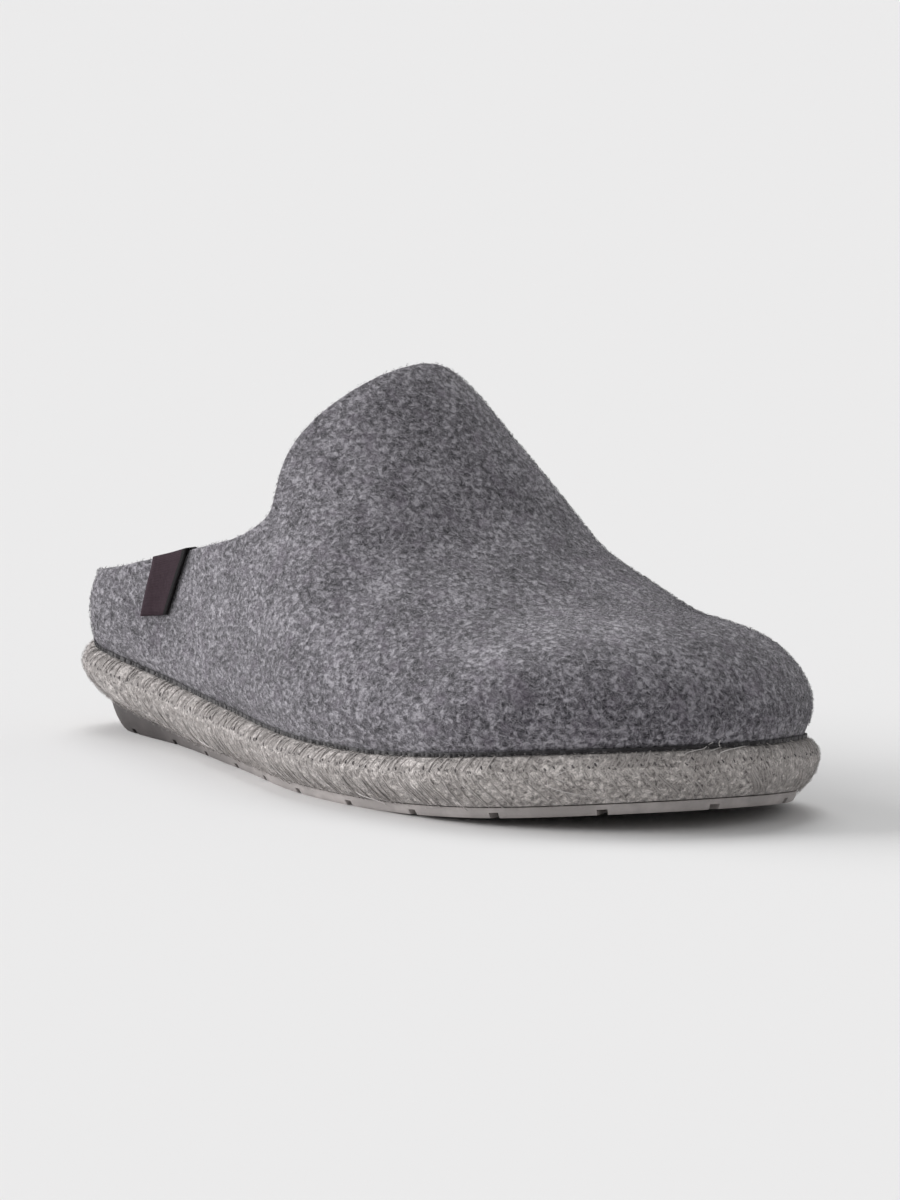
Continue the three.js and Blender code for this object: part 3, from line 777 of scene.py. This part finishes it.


# Colours, and where along the foot, in metres, the painted light on the rubber's side sets in and is full
CLEAN_RUBBER = (0.055, 0.048, 0.047, 1)
SCUFFED_RUBBER = (0.095, 0.084, 0.083, 1)
# Painted light: the lighter colour the rubber's side takes toward the toe
PAINTED_TOE_LIGHT = (0.61, 0.57, 0.556, 1)
PAINTED_LIGHT_FROM = -0.09
PAINTED_LIGHT_TO = 0.04
RIBBON_DARK = (0.016, 0.008, 0.012, 1)
RIBBON_LIGHT = (0.043, 0.024, 0.033, 1)
RIBBON_FUZZ = (0.056, 0.036, 0.046, 1)
# Painted shadow along the ribbon's edge
PAINTED_EDGE_SHADOW = (0.01, 0.009, 0.01, 1)
# Weft and warp: direction, threads to the millimetre, and how high they stand
RIBBON_WEAVE = (("Y", 2.2, 0.3), ("X", 3.4, 0.2))

# Dark, middle, light and fleck colours of each mottled material
WOOL_COLOURS = (
    (0.022, 0.02, 0.026, 1),
    (0.132, 0.125, 0.142, 1),
    (0.42, 0.403, 0.44, 1),
    (0.14, 0.115, 0.15, 1),
)
FOOTBED_COLOURS = (
    (0.03, 0.03, 0.033, 1),
    (0.15, 0.15, 0.16, 1),
    (0.4, 0.4, 0.42, 1),
    (0.1, 0.1, 0.15, 1),
)
JUTE_COLOURS = (
    (0.12, 0.109, 0.105, 1),
    (0.415, 0.385, 0.371, 1),
    (0.87, 0.82, 0.796, 1),
    (0.27, 0.247, 0.24, 1),
)
# Near-black: the seam thread's own colour and painted shade of the crease
SEAM_THREAD_AND_SHADE_COLOURS = (
    (0.01, 0.009, 0.011, 1),
    (0.026, 0.024, 0.026, 1),
    (0.05, 0.047, 0.05, 1),
    (0.02, 0.018, 0.02, 1),
)
felt = felt_material("grey felt", WOOL_COLOURS)
footbed_felt = felt_material("footbed felt", FOOTBED_COLOURS, 0.6)
jute_base = felt_material("jute base", JUTE_COLOURS, 0.6)
wool_fibre = fibre_material("wool fibre", WOOL_COLOURS, 0.4)
jute_fibre = fibre_material("jute fibre", JUTE_COLOURS, 0.5)
seam_thread_and_shade = fibre_material("seam thread and shade", SEAM_THREAD_AND_SHADE_COLOURS, 0.5)
jute_strand = strand_material("jute strand", (0.25, 0.23, 0.223, 1), (0.78, 0.732, 0.712, 1))
# Near-black strands: painted shade in the gaps of the braid above the knots
painted_gap_shade = strand_material("jute painted shade", (0.05, 0.046, 0.046, 1), (0.14, 0.13, 0.13, 1))
loose_fibre = new_material("loose fibre", Base_Color=(0.7, 0.67, 0.66, 1), Roughness=0.6)[0]
rubber = rubber_material()
ribbon = ribbon_material()


def place_piece(piece, node):
    """A finished piece is attached to the root body, and the node of the frame that it stands for is hidden.
    """
    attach(piece, "root")
    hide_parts(node)
    return piece


# Upper: wool felt, softly uneven, with a rounded cut edge at the collar
def relief(points, seed):
    """Unevenness of hand-felted wool, in millimetres."""
    lumps = [unevenness(points, size, seed + k) * height for k, (size, height) in enumerate(FELT_LUMPS)]
    return sum(lumps).reshape(points.shape[:-1])


rows_up = np.linspace(0, 1, WALL_ROWS + 1)[:, None]
settled = clamp(rows_up * 12)
outside = felt_outside + felt_out * (relief(felt_outside, 1) * settled)[..., None]
inside = felt_inside - felt_out * (relief(felt_inside, 5) * settled)[..., None]
rim_ahead = np.roll(felt_outside[-1], -1, axis=0) - np.roll(felt_outside[-1], 1, axis=0)
rim_up = unit(np.cross(felt_out[-1], rim_ahead))
rim_middle = (outside[-1] + inside[-1]) / 2
rim_half = (outside[-1] - inside[-1]) / 2
rim_relief = 1 + EDGE_UNEVEN * unevenness(rim_middle, 3.0, 8)
rim = []
for k in range(1, RIM_STEPS):
    turn = math.pi * k / RIM_STEPS
    lift = EDGE_ROUNDING * math.sin(turn) ** 0.8 * rim_relief
    width = abs(math.cos(turn)) ** 0.85 * math.copysign(1, math.cos(turn))
    rim.append(rim_middle + rim_half * width + rim_up * lift[:, None])
upper = shell("felt_upper", [*outside, *rim, *inside[::-1]], felt)
place_piece(upper, "upper")


# Loose fibres, scattered over a surface by a Geometry Nodes tree
def spindle(name, length, thickness, bends):
    """A thin closed fibre along X, pointed at both ends, with a bend at each of its rings."""
    sides = 3
    points = [(0.0, 0.0, 0.0)]
    for share, sideways, rise in bends:
        for k in range(sides):
            turn = 2 * math.pi * k / sides
            y = sideways * length + thickness / 2 * math.cos(turn)
            z = rise * length + thickness / 2 * math.sin(turn)
            points.append((share * length, y, z))
    points.append((length, 0.0, 0.0))
    tip = len(points) - 1
    faces = []
    for k in range(sides):
        following = (k + 1) % sides
        faces.append((0, 1 + following, 1 + k))
        faces.append((tip, tip - sides + k, tip - sides + following))
        for ring in range(len(bends) - 1):
            low = 1 + ring * sides
            faces.append((low + k, low + following, low + sides + following, low + sides + k))
    return model_object(name, points, faces)


def fibre_kinds(name, length, thickness):
    """A collection of fibres with different curls."""
    curls = ((0.5, 0.42, 0.18), (0.45, -0.46, 0.16), (0.6, 0.34, 0.22), (0.4, -0.3, 0.26))
    kinds = bpy.data.collections.new(name)
    for number, bend in enumerate(curls):
        kinds.objects.link(spindle(f"{name}_{number}", length, thickness, [bend]))
    return kinds


def geometry_tree(name, inputs):
    """An empty Geometry Nodes tree that takes a mesh, these inputs, a seed and a material."""
    inputs = {"Geometry": "Geometry", **inputs, "Seed": "Int", "Material": "Material"}
    return new_tree(name, "GeometryNodeTree", inputs, {"Geometry": "Geometry"})


def chance(tree, least, most, seed):
    """A random number between two limits, for each point or copy."""
    made = add(tree, "FunctionNodeRandomValue", {2: least, 3: most, "Seed": seed}, data_type="FLOAT")
    return made.outputs[1]


def turned_by(tree, rotation, extra):
    inputs = {0: rotation, 1: extra}
    return add(tree, "FunctionNodeRotateRotation", inputs, rotation_space="LOCAL").outputs[0]


def finish_copies(tree, inputs, tone, given, result):
    """Sets copies on points, gives each one its tone, and makes them one mesh of one material."""
    placed = add(tree, "GeometryNodeInstanceOnPoints", inputs).outputs[0]
    inputs = {"Geometry": placed, "Name": "tone"}
    toned = add(tree, "GeometryNodeStoreNamedAttribute", inputs, data_type="FLOAT", domain="INSTANCE")
    tree.links.new(tone, toned.inputs["Value"])
    real = add(tree, "GeometryNodeRealizeInstances", {"Geometry": toned.outputs[0]})
    inputs = {"Geometry": real.outputs[0], "Material": given["Material"]}
    tree.links.new(add(tree, "GeometryNodeSetMaterial", inputs).outputs[0], result["Geometry"])
    return tree


def scatter_tree():
    """Geometry Nodes tree that scatters the fibres of a collection over faces, each with its own tone."""
    sizes = {"Per Square Metre": "Float", "Least Lift": "Float", "Most Lift": "Float"}
    tree, given, result = geometry_tree("scattered fibres", {"Fibres": "Collection", **sizes})
    inputs = {"Mesh": given["Geometry"], "Density": given["Per Square Metre"], "Seed": given["Seed"]}
    points = add(tree, "GeometryNodeDistributePointsOnFaces", inputs)
    inputs = {"Min": (0.0, 0.0, 0.0), "Max": (0.0, 0.0, 2 * math.pi), "Seed": given["Seed"]}
    spin = add(tree, "FunctionNodeRandomValue", inputs, data_type="FLOAT_VECTOR").outputs[0]
    lift = chance(tree, given["Least Lift"], given["Most Lift"], 7)
    tilt = add(tree, "ShaderNodeCombineXYZ", {"Y": calculate(tree, "MULTIPLY", lift, -1.0)}).outputs[0]
    inputs = {"Collection": given["Fibres"], "Separate Children": True, "Reset Children": True}
    kinds = add(tree, "GeometryNodeCollectionInfo", inputs)
    inputs = {
        "Points": points.outputs["Points"],
        "Instance": kinds.outputs[0],
        "Pick Instance": True,
        "Rotation": turned_by(tree, turned_by(tree, points.outputs["Rotation"], spin), tilt),
        "Scale": chance(tree, *FIBRE_SIZES, 11),
    }
    return finish_copies(tree, inputs, chance(tree, 0.0, 1.0, 23), given, result)


def grown(name, surface, tree, values, material):
    """A plain mesh of what a Geometry Nodes tree makes from a surface, which is used up."""
    modifier = surface.modifiers.new(name, "NODES")
    modifier.node_group = tree
    for item in tree.interface.items_tree:
        if item.item_type == "SOCKET" and item.in_out == "INPUT" and item.name in values:
            modifier[item.identifier] = values[item.name]
    made = in_scene(name, finished(evaluated(surface), material))
    made.data.name = name
    bpy.data.objects.remove(surface)
    return made


SCATTER = scatter_tree()
wool_kinds = fibre_kinds("wool_kinds", *WOOL_HAIR)
jute_kinds = fibre_kinds("jute_kinds", *JUTE_HAIR)


def scattered(name, rows, first, last, kinds, lift, seed, material, node):
    """Fibres over part of a face of level lines, from one column to another."""
    part = rows[:, np.arange(first, last + 1) % rows.shape[1]]
    faces = walls(part.shape[1], len(part), closed=False)
    ground = mesh_object(name + "_ground", part.reshape(-1, 3), faces)
    values = {
        "Fibres": kinds,
        "Per Square Metre": FIBRES / sum(face.area for face in ground.data.polygons),
        "Least Lift": lift[0],
        "Most Lift": lift[1],
        "Seed": seed,
        "Material": material,
    }
    place_piece(grown(name, ground, SCATTER, values, material), node)


felt_face = np.concatenate([outside[NAP_FROM_ROW:], np.array(rim)[:2]])
for name, first, seed in (("nap_outer", 0, 3), ("nap_inner", SIDE_STEPS, 4)):
    scattered(name, felt_face, first, first + SIDE_STEPS, wool_kinds, NAP_LIFT, seed, wool_fibre, "upper")


# Midsole: a wedge, its rounded side covered by the braid
def drawn_in(extra):
    """Inset of the braid's own lines, which lie a little further in round the heel."""
    return lambda share: extra + HEEL_DRAWN_IN * heel_inset(share)


def band_height(down):
    """Height of a line of the band, by its share of the way down from the felt."""
    return lambda x, side: mix(seat_z(x), rubber_top_z(x, side) + CLEARANCE, down)


by_down = {key: values[::-1] for key, values in BAND.items()}
by_down["at"] = by_down["down"]
band_top = curve(by_down, "top")
band_foot_share = curve(by_down, "foot")


def band_ring(down, extra=0.0):
    """Closed line of the band, drawn in a little further or, with a minus, let out."""
    top, foot = band_top(clamp(down)), band_foot_share(clamp(down))

    def inset(share):
        return top * SEAT_INSET + foot * band_foot(share) + drawn_in(extra)(share)

    return outline(inset, band_height(down))


down_shares = np.linspace(1, 0, BAND_ROWS + 1)
midsole = stack("midsole_core", [band_ring(down, BASE_DEPTH) for down in down_shares], jute_base)
place_piece(midsole, "midsole")


def strand(name, lean, start_down, end_down, inset_at, radius=STRAND_RADIUS, proud=0.0):
    """One strand, for a band of the usual height: a bent tube that sinks in and tapers at its ends."""
    points = []
    uv = []
    for k in range(STRAND_STEPS + 1):
        share = k / STRAND_STEPS
        down = mix(start_down, end_down, share)
        swell = math.sin(math.pi * mix(0.04, 0.96, share)) ** STRAND_SWELL
        x = lean * (share - STRAND_SWAY * math.sin(2 * math.pi * share))
        y = float(inset_at(down)) + BRAID_DEPTH * (STRAND_SINK - swell) - proud * swell
        z = (SEAM_DOWN - down) * UNIT_BAND
        thickness = radius * mix(STRAND_TIP, 1.0, swell)
        for j in range(STRAND_SIDES):
            turn = 2 * math.pi * j / STRAND_SIDES
            depth = 0.75 - STRAND_FLAT * math.sin(turn)
            points.append((x + thickness * math.cos(turn), y + thickness * depth, z))
            uv.append((j / STRAND_SIDES, share))
    faces = tube_faces(STRAND_SIDES, STRAND_STEPS + 1)
    if end_down > start_down:
        faces = [face[::-1] for face in faces]
    made = model_object(name, points, faces)
    lay_map(made, "strand", uv)
    return made


def row_tree():
    """Geometry Nodes tree that sets a strand on each point of a guide, turned and sized by the point."""
    inputs = {"Strand": "Object", "Least Tone": "Float", "Most Tone": "Float"}
    tree, given, result = geometry_tree("row of strands", inputs)
    named = {}
    for key in ("turn", "slant", "lean", "width", "depth", "height"):
        column = add(tree, "GeometryNodeInputNamedAttribute", {"Name": key}, data_type="FLOAT")
        named[key] = column.outputs[0]
    turned = add(tree, "ShaderNodeCombineXYZ", {"X": named["lean"], "Y": named["slant"], "Z": named["turn"]})
    sizes = {"X": named["width"], "Y": named["depth"], "Z": named["height"]}
    inputs = {"Object": given["Strand"], "As Instance": True}
    shape = add(tree, "GeometryNodeObjectInfo", inputs, transform_space="ORIGINAL")
    inputs = {
        "Points": given["Geometry"],
        "Instance": shape.outputs["Geometry"],
        "Rotation": turned.outputs[0],
        "Scale": add(tree, "ShaderNodeCombineXYZ", sizes).outputs[0],
    }
    tone = chance(tree, given["Least Tone"], given["Most Tone"], given["Seed"])
    return finish_copies(tree, inputs, tone, given, result)


ROW = row_tree()


def as_made(share):
    return np.ones_like(share)


def foot_depth(share):
    return band_foot(share) / BAND_FOOT


def strand_guide(name, pitch, seed, depth_at, down=SEAM_DOWN, inset=0.0, shake=0.0):
    """Points round the sole where strands start, with the turn and size of each strand."""
    line = outline(drawn_in(inset), band_height(down), 3 * SIDE_STEPS)
    line = np.concatenate([line, line[:1]])
    length = measured(line)[-1]
    number = round(length / pitch)
    rng = np.random.default_rng(seed)
    at = (np.arange(number) + rng.uniform(-STRAY_ALONG, STRAY_ALONG, number)) * length / number
    points = spread(line, np.mod(at, length))
    ahead = spread(line, np.mod(at + LOOK_AHEAD, length)) - points
    side = np.where(points[:, 1] < crest_y(points[:, 0]), OUTER, INNER)
    band = seat_z(points[:, 0]) - rubber_top_z(points[:, 0], side) - CLEARANCE
    points[:, 2] += rng.normal(0, STRAY_UP * shake, number)
    columns = {
        "turn": np.arctan2(ahead[:, 1], ahead[:, 0]) + rng.normal(0, STRAY_TURN, number),
        "slant": rng.normal(0, STRAY_SLANT * shake, number),
        "lean": rng.normal(0, STRAY_LEAN * shake, number),
        "width": 1 + shake * rng.uniform(-STRAY_WIDTH, STRAY_WIDTH, number),
        "depth": depth_at(points[:, 0] / LENGTH),
        "height": band / UNIT_BAND * (1 + shake * rng.uniform(*STRAY_HEIGHT, number)),
    }
    guide = mesh_object(name, points, [])
    for key, values in columns.items():
        guide.data.attributes.new(key, "FLOAT", "POINT").data.foreach_set("value", values.astype(np.float32))
    return guide


def lower_inset(down):
    return band_foot_share(down) * BAND_FOOT


def upper_inset_at(down):
    return band_top(down) * SEAT_INSET


# Lean, start and end on the way down, the face it lies on, radius, and how far it stands out
upper_strand = strand("upper_strand", UPPER_STRAND_LEAN, SEAM_DOWN + 0.03, 0.0, upper_inset_at)
lower_strand = strand("lower_strand", LOWER_STRAND_LEAN, SEAM_DOWN - 0.03, 0.97, lower_inset)
knot = strand("knot", 0.9, SEAM_DOWN - 0.05, SEAM_DOWN + 0.11, lower_inset, 0.34, 0.16)
# Pits: dark strands coloured as painted shade of the braid's gaps
pit = strand("pit", 0.4, SEAM_DOWN - 0.15, SEAM_DOWN - 0.07, upper_inset_at, 0.27, 0.16)
loop = strand("edge_loop", 0.9, 0.86, 1.0, lower_inset, 0.3, 0.02)
# Piece, strand, spacing, seed, depth, material, and darkest and lightest tone
BRAID_ROWS = (
    ("braid_upper", upper_strand, STRAND_PITCH, 31, as_made, jute_strand, (0.2, 0.55)),
    ("braid_lower", lower_strand, STRAND_PITCH, 32, foot_depth, jute_strand, (0.25, 0.65)),
    # Knots take lighter tones than the other strands: painted highlight along the seam
    ("braid_knots", knot, KNOT_PITCH, 33, foot_depth, jute_strand, (0.6, 1.0)),
    ("braid_pits", pit, PIT_PITCH, 36, as_made, painted_gap_shade, (0.0, 1.0)),
    ("braid_loops", loop, LOOP_PITCH, 34, foot_depth, jute_strand, (0.1, 0.6)),
)


def strand_row(name, shape, pitch, seed, depth_at, material, tones, node, **guide_settings):
    """A row of strands round the sole, as one piece."""
    guide = strand_guide(name + "_guide", pitch, seed, depth_at, **guide_settings)
    least, most = tones
    values = {"Strand": shape, "Least Tone": least, "Most Tone": most, "Seed": seed, "Material": material}
    place_piece(grown(name, guide, ROW, values, material), node)


for row in BRAID_ROWS:
    strand_row(*row, "midsole", shake=1.0)

# Near-black thread in the crease between felt and braid: partly a real seam thread, partly painted shade of
# the crease
seam_stitch = spindle("seam_stitch", SEAM_STITCH, SEAM_THICKNESS, ((0.2, 0.0, 0.02), (0.8, 0.0, 0.02)))
seam_row = ("seam_stitches", seam_stitch, SEAM_STITCH * SEAM_STEP_SHARE, 35, as_made, seam_thread_and_shade, (0.2, 0.7))
strand_row(*seam_row, "upper", down=-SEAM_ABOVE, inset=SEAT_INSET - SEAM_PROUD)

fuzz_face = np.stack([band_ring(down) for down in down_shares])
scattered("braid_fuzz", fuzz_face, 0, 2 * SIDE_STEPS, jute_kinds, FUZZ_LIFT, 6, jute_fibre, "midsole")


# Loose ends of fibre on the band, most of them near the toe as in the photograph

# Distance round the sole from the back of the heel, share of the band's height down from the felt,
# how far the thread runs on, how far it drops, and how far its end hooks back
LOOSE_THREADS = (
    (296.5, 0.48, 1.6, 0.48, -2.2),
    (303.0, 0.3, -2.6, 0.3, 1.6),
    (327.0, 0.12, 2.4, -0.3, 1.8),
    (332.5, 0.1, -1.6, -0.34, 2.4),
    (337.0, 0.16, 2.0, -0.26, -1.6),
    (226.0, 0.8, 2.4, 0.3, -1.8),
    (118.0, 0.7, 2.2, 0.3, 1.6),
    (470.0, 0.5, -3.0, 0.4, 2.0),
    (560.0, 0.3, 3.4, 0.4, -2.2),
    (640.0, 0.7, 2.6, 0.3, 1.8),
)


def thread_line(distance, down, run, drop, hook):
    """Middle line of a thread that starts in the braid and wanders off it."""
    line = []
    for t in np.linspace(0, 1, THREAD_STEPS):
        lift = THREAD_LIFT * math.sin(math.pi * min(1.2 * t, 1.0)) + THREAD_FOOT
        ring = band_ring(down + drop * t, -lift)
        line.append(spread(ring, [distance + run * t - hook * t**3])[0])
    return np.array(line)


def loose_threads():
    """All the loose threads, as thin tubes that taper toward their ends."""
    points = []
    faces = []
    for row in LOOSE_THREADS:
        faces += tube_faces(THREAD_SIDES, THREAD_STEPS, len(points))
        line = thread_line(*row)
        ahead = unit(np.gradient(line, axis=0))
        sideways = unit(np.cross(ahead, np.array([0.31, 0.17, 0.93])))
        upward = np.cross(sideways, ahead)
        for k in range(THREAD_STEPS):
            radius = THREAD_RADIUS * math.sin(math.pi * mix(0.15, 0.9, k / (THREAD_STEPS - 1)))
            for j in range(THREAD_SIDES):
                turn = 2 * math.pi * j / THREAD_SIDES
                around = math.cos(turn) * sideways[k] + math.sin(turn) * upward[k]
                points.append(line[k] + radius * around)
    return mesh_object("loose_threads", points, faces, loose_fibre)


place_piece(loose_threads(), "midsole")


# Outsole: rubber with a tapering side, lugs parted by notches, and a channel
def rubber_ring(up, taper):
    def inset(share):
        return mix(band_foot(share) + RUBBER_STEP, tread_edge(share), taper)

    return outline(inset, lambda x, side: mix(tread_z(x, side), rubber_top_z(x, side), up))


rubber_rings = [rubber_ring(up, taper) for up, taper in zip(RUBBER["up"], RUBBER["taper"])]
outsole = stack("rubber_outsole", rubber_rings, rubber)


def channel_cutter():
    """Closed trench in the form of the channel, from below the tread up to its depth."""
    def level(rise):
        return lambda x, side: tread_z(x, side) + rise

    near, far = evenly(CHANNEL_INSET), evenly(CHANNEL_INSET + CHANNEL_WIDTH)
    below, above = level(-CUTTER_BELOW), level(GROOVE_DEPTH)
    corners = ((near, below), (near, above), (far, above), (far, below))
    return shell("channel_cutter", [outline(inset, height_at) for inset, height_at in corners])


def notch_cutters():
    """Boxes across the edge of the tread, one for each notch."""
    edge = outline(tread_edge, tread_z, FINE_STEPS)
    edge = np.concatenate([edge, edge[:1]])
    length = measured(edge)[-1]
    reach = CHANNEL_INSET + CHANNEL_WIDTH / 2
    corners = ((-1, -CUTTER_BELOW), (1, -CUTTER_BELOW), (1, GROOVE_DEPTH), (-1, GROOVE_DEPTH))
    points = []
    faces = []
    for number in range(round((length - FIRST_NOTCH) / NOTCH_PITCH)):
        distance = FIRST_NOTCH + NOTCH_PITCH * number
        here, following = spread(edge, [distance, distance + 0.5])
        ahead = unit(following - here)
        across = np.array([-ahead[1], ahead[0], 0.0])
        start = here - across * float(tread_edge(here[0] / LENGTH))
        first = len(points)
        side = OUTER if here[1] < 0 else INNER
        for along in (0.0, reach):
            for sideways, up in corners:
                point = start + across * along + ahead * sideways * NOTCH_WIDTH / 2
                point[2] = tread_z(np.clip(point[0], 0, LENGTH), side) + up
                points.append(point)
        for near in range(4):
            far = (near + 1) % 4
            faces.append([first + near, first + 4 + near, first + 4 + far, first + far])
        faces += [[first + k for k in range(4)], [first + 7 - k for k in range(4)]]
    return mesh_object("notch_cutters", points, faces)


def cut(piece, cutter):
    """Takes the cutter's form out of a piece, and removes the cutter."""
    modifier = piece.modifiers.new("cut", "BOOLEAN")
    modifier.operation = "DIFFERENCE"
    modifier.solver = "EXACT"
    modifier.object = cutter
    mesh = evaluated(piece)
    piece.modifiers.clear()
    piece.data = mesh
    bpy.data.objects.remove(cutter)


cut(outsole, channel_cutter())
cut(outsole, notch_cutters())
finished(outsole.data, rubber)
outsole.data.set_sharp_from_angle(angle=math.radians(SHARP_ANGLE))
place_piece(outsole, "outsole")


# Footbed
def inside_line(height):
    """Closed line just inside the felt, at a height over the midsole."""
    above = felt_inside[..., 2] - upper_floor_z(felt_inside[..., 0])
    columns = np.arange(felt_inside.shape[1])
    k = np.argmax(above[1:] >= height, axis=0) + 1
    low, high = felt_inside[k - 1, columns], felt_inside[k, columns]
    share = (height - above[k - 1, columns]) / (above[k, columns] - above[k - 1, columns])
    points = low + (high - low) * share[:, None]
    points = points + inward(points) * CLEARANCE
    points[:, 2] = upper_floor_z(points[:, 0]) + height
    return points


def footbed():
    """Felt footbed, dished a little so that the foot sits in it."""
    rim_line = inside_line(INSOLE_THICKNESS)
    rim_line = rim_line + inward(rim_line) * INSOLE_EDGE_IN
    rings = [inside_line(0.0), inside_line(INSOLE_THICKNESS - INSOLE_ROUNDING), rim_line]
    middle_x = np.clip(rim_line[:, 0], HEEL_ROUND, LENGTH - TOE_ROUND)
    to_middle = np.stack([middle_x, crest_y(rim_line[:, 0]), rim_line[:, 2]], axis=1)
    for share in np.linspace(0, 0.97, INSOLE_ROWS)[1:]:
        ring = mix(rim_line, to_middle, share)
        distance = np.linalg.norm((ring - rim_line)[:, :2], axis=1)
        fall = INSOLE_DISH * (1 - (1 - clamp(distance / INSOLE_RIM)) ** 2)
        lumps = INSOLE_UNEVEN * unevenness(ring, INSOLE_LUMP, 12)
        ring[:, 2] = upper_floor_z(ring[:, 0]) + INSOLE_THICKNESS - fall + lumps
        rings.append(ring)
    return stack("felt_footbed", rings, footbed_felt)


insole = footbed()
place_piece(insole, "insole")


# Label: a folded ribbon over the collar, bare
def down_line(rows, x):
    """Line down one face of the felt, at one X on the outer side."""
    half = rows[:, : SIDE_STEPS + 1]
    line = [[np.interp(x, row[:, 0], row[:, axis]) for axis in range(3)] for row in half]
    return np.array(line[::-1])


def label_section(share, rim_line):
    """Both faces of the label along one line: up the outside, over the edge and down the inside."""
    top_x = LABEL_FROM_HEEL + (LABEL_WIDTH + LABEL_SPREAD) * share
    end_x = LABEL_FROM_HEEL - LABEL_LEAN + LABEL_WIDTH * share
    drop = LABEL_DROP + LABEL_SKEW * (share - 0.5)
    outer_points = []
    for down in np.linspace(1, 0, LABEL_ROWS + 1):
        outer_points.append(spread(down_line(felt_outside, mix(top_x, end_x, down)), [drop * down])[0])
    inner_points = spread(down_line(felt_inside, top_x), np.linspace(0, 1, LABEL_ROWS + 1) * LABEL_TURN)
    crown = down_line(rim_line[None], top_x)
    path = np.concatenate([np.array(outer_points), crown, inner_points])
    out = unit(outer_points[-1] - inner_points[0])
    crown_at = LABEL_ROWS + 1
    sides = np.sign(crown_at - np.arange(len(path)))
    lift = (np.abs(crown_at - np.arange(len(path))) <= 1).astype(float)

    def offset(distance):
        return path + sides[:, None] * out * distance + lift[:, None] * np.array([0, 0, 1.0]) * distance

    wave = out * (LABEL_WAVE * math.sin(LABEL_RIPPLE * share) * np.linspace(1, 0, len(path)))[:, None]
    near = offset(CLEARANCE + LABEL_PLAY) + wave
    far = offset(CLEARANCE + LABEL_PLAY + LABEL_THICKNESS) + wave
    return near, far


def label_piece():
    rim_line = rim_middle + rim_up * EDGE_CROWN
    points = []
    uv = []
    for step in range(LABEL_STEPS + 1):
        share = step / LABEL_STEPS
        near, far = label_section(share, rim_line)
        along = measured(near)
        for line in (near, far[::-1]):
            points += line.tolist()
        for distance in [*along, *along[::-1]]:
            uv.append((share * LABEL_WIDTH, distance))
    ring = len(points) // (LABEL_STEPS + 1)
    faces = walls(ring, LABEL_STEPS + 1)
    last = LABEL_STEPS * ring
    for i in range(ring // 2 - 1):
        across = ring - 1 - i
        faces.append([i, across, across - 1, i + 1])
        faces.append([last + i, last + i + 1, last + across - 1, last + across])
    made = mesh_object("ribbon_label", points, faces, ribbon)
    lay_map(made, "ribbon", uv)
    return made


label = label_piece()
place_piece(label, "label")


# Floor and light
def make_floor():
    mesh = bpy.data.meshes.new("floor")
    corners = [(-FLOOR_REACH, -FLOOR_REACH, 0), (FLOOR_REACH, -FLOOR_REACH, 0)]
    corners += [(FLOOR_REACH, FLOOR_REACH, 0), (-FLOOR_REACH, FLOOR_REACH, 0)]
    mesh.from_pydata(corners, [], [(0, 1, 2, 3)])
    pale = new_material("pale floor", Base_Color=FLOOR_COLOUR, Roughness=1.0, Specular_IOR_Level=0.0)[0]
    mesh.materials.append(pale)
    floor = in_scene("floor", mesh)


def make_sun(name, toward, strength, spread_degrees, colour):
    """Soft light from a direction, given as the way from the slipper to the light."""
    data = bpy.data.lights.new(name, "SUN")
    data.energy = strength
    data.angle = math.radians(spread_degrees)
    data.color = colour
    in_scene(name, data).rotation_euler = Vector(toward).to_track_quat("Z", "Y").to_euler()


# Way from the slipper to each light, its strength, how wide it spreads, and its colour
SUNS = {
    "key": ((-0.76, -0.7, 0.3), 3.5, 60, (1.0, 0.988, 0.992)),
    "fill": ((-0.6, 0.3, 1.0), 1.0, 32, (1, 1, 1)),
}
FLOOR_REACH = 40
FLOOR_COLOUR = (0.82, 0.82, 0.82, 1)
ROOM_LIGHT = 0.42
ROOM_SEEN = 0.845
make_floor()
for name, settings in SUNS.items():
    make_sun(name, *settings)


def make_world(light, seen):
    """An even pale room: it lights the slipper less than it shows behind the floor."""
    world = bpy.data.worlds.new("studio")
    world.use_nodes = True
    tree = world.node_tree
    direct = add(tree, "ShaderNodeLightPath").outputs["Is Camera Ray"]
    strength = ramp(tree, direct, 0.0, 1.0, light, seen)
    tree.links.new(strength, tree.nodes["Background"].inputs["Strength"])
    tree.nodes["Background"].inputs["Color"].default_value = (1, 1, 1, 1)
    bpy.context.scene.world = world


make_world(ROOM_LIGHT, ROOM_SEEN)
bpy.context.scene.view_settings.view_transform = "Standard"

# Camera, at the photograph's angle to the slipper and framing this one alone
EYE = np.array([1856.7, -861.7, 230.7])
AIM = np.array([147.0, 8.8, 43.0])
LENS = 308
camera_data = bpy.data.cameras.new("camera")
camera_data.sensor_fit = "HORIZONTAL"
camera_data.sensor_width = 36
camera_data.lens = LENS
camera_data.clip_end = 200
camera = in_scene("camera", camera_data)
eye = (EYE - MIDDLE) * MM
aim = (AIM - MIDDLE) * MM
camera.location = eye
camera.rotation_euler = Vector(aim - eye).to_track_quat("-Z", "Y").to_euler()
bpy.context.scene.camera = camera

for model in models:
    bpy.data.objects.remove(model)
for kinds in (wool_kinds, jute_kinds):
    bpy.data.collections.remove(kinds)
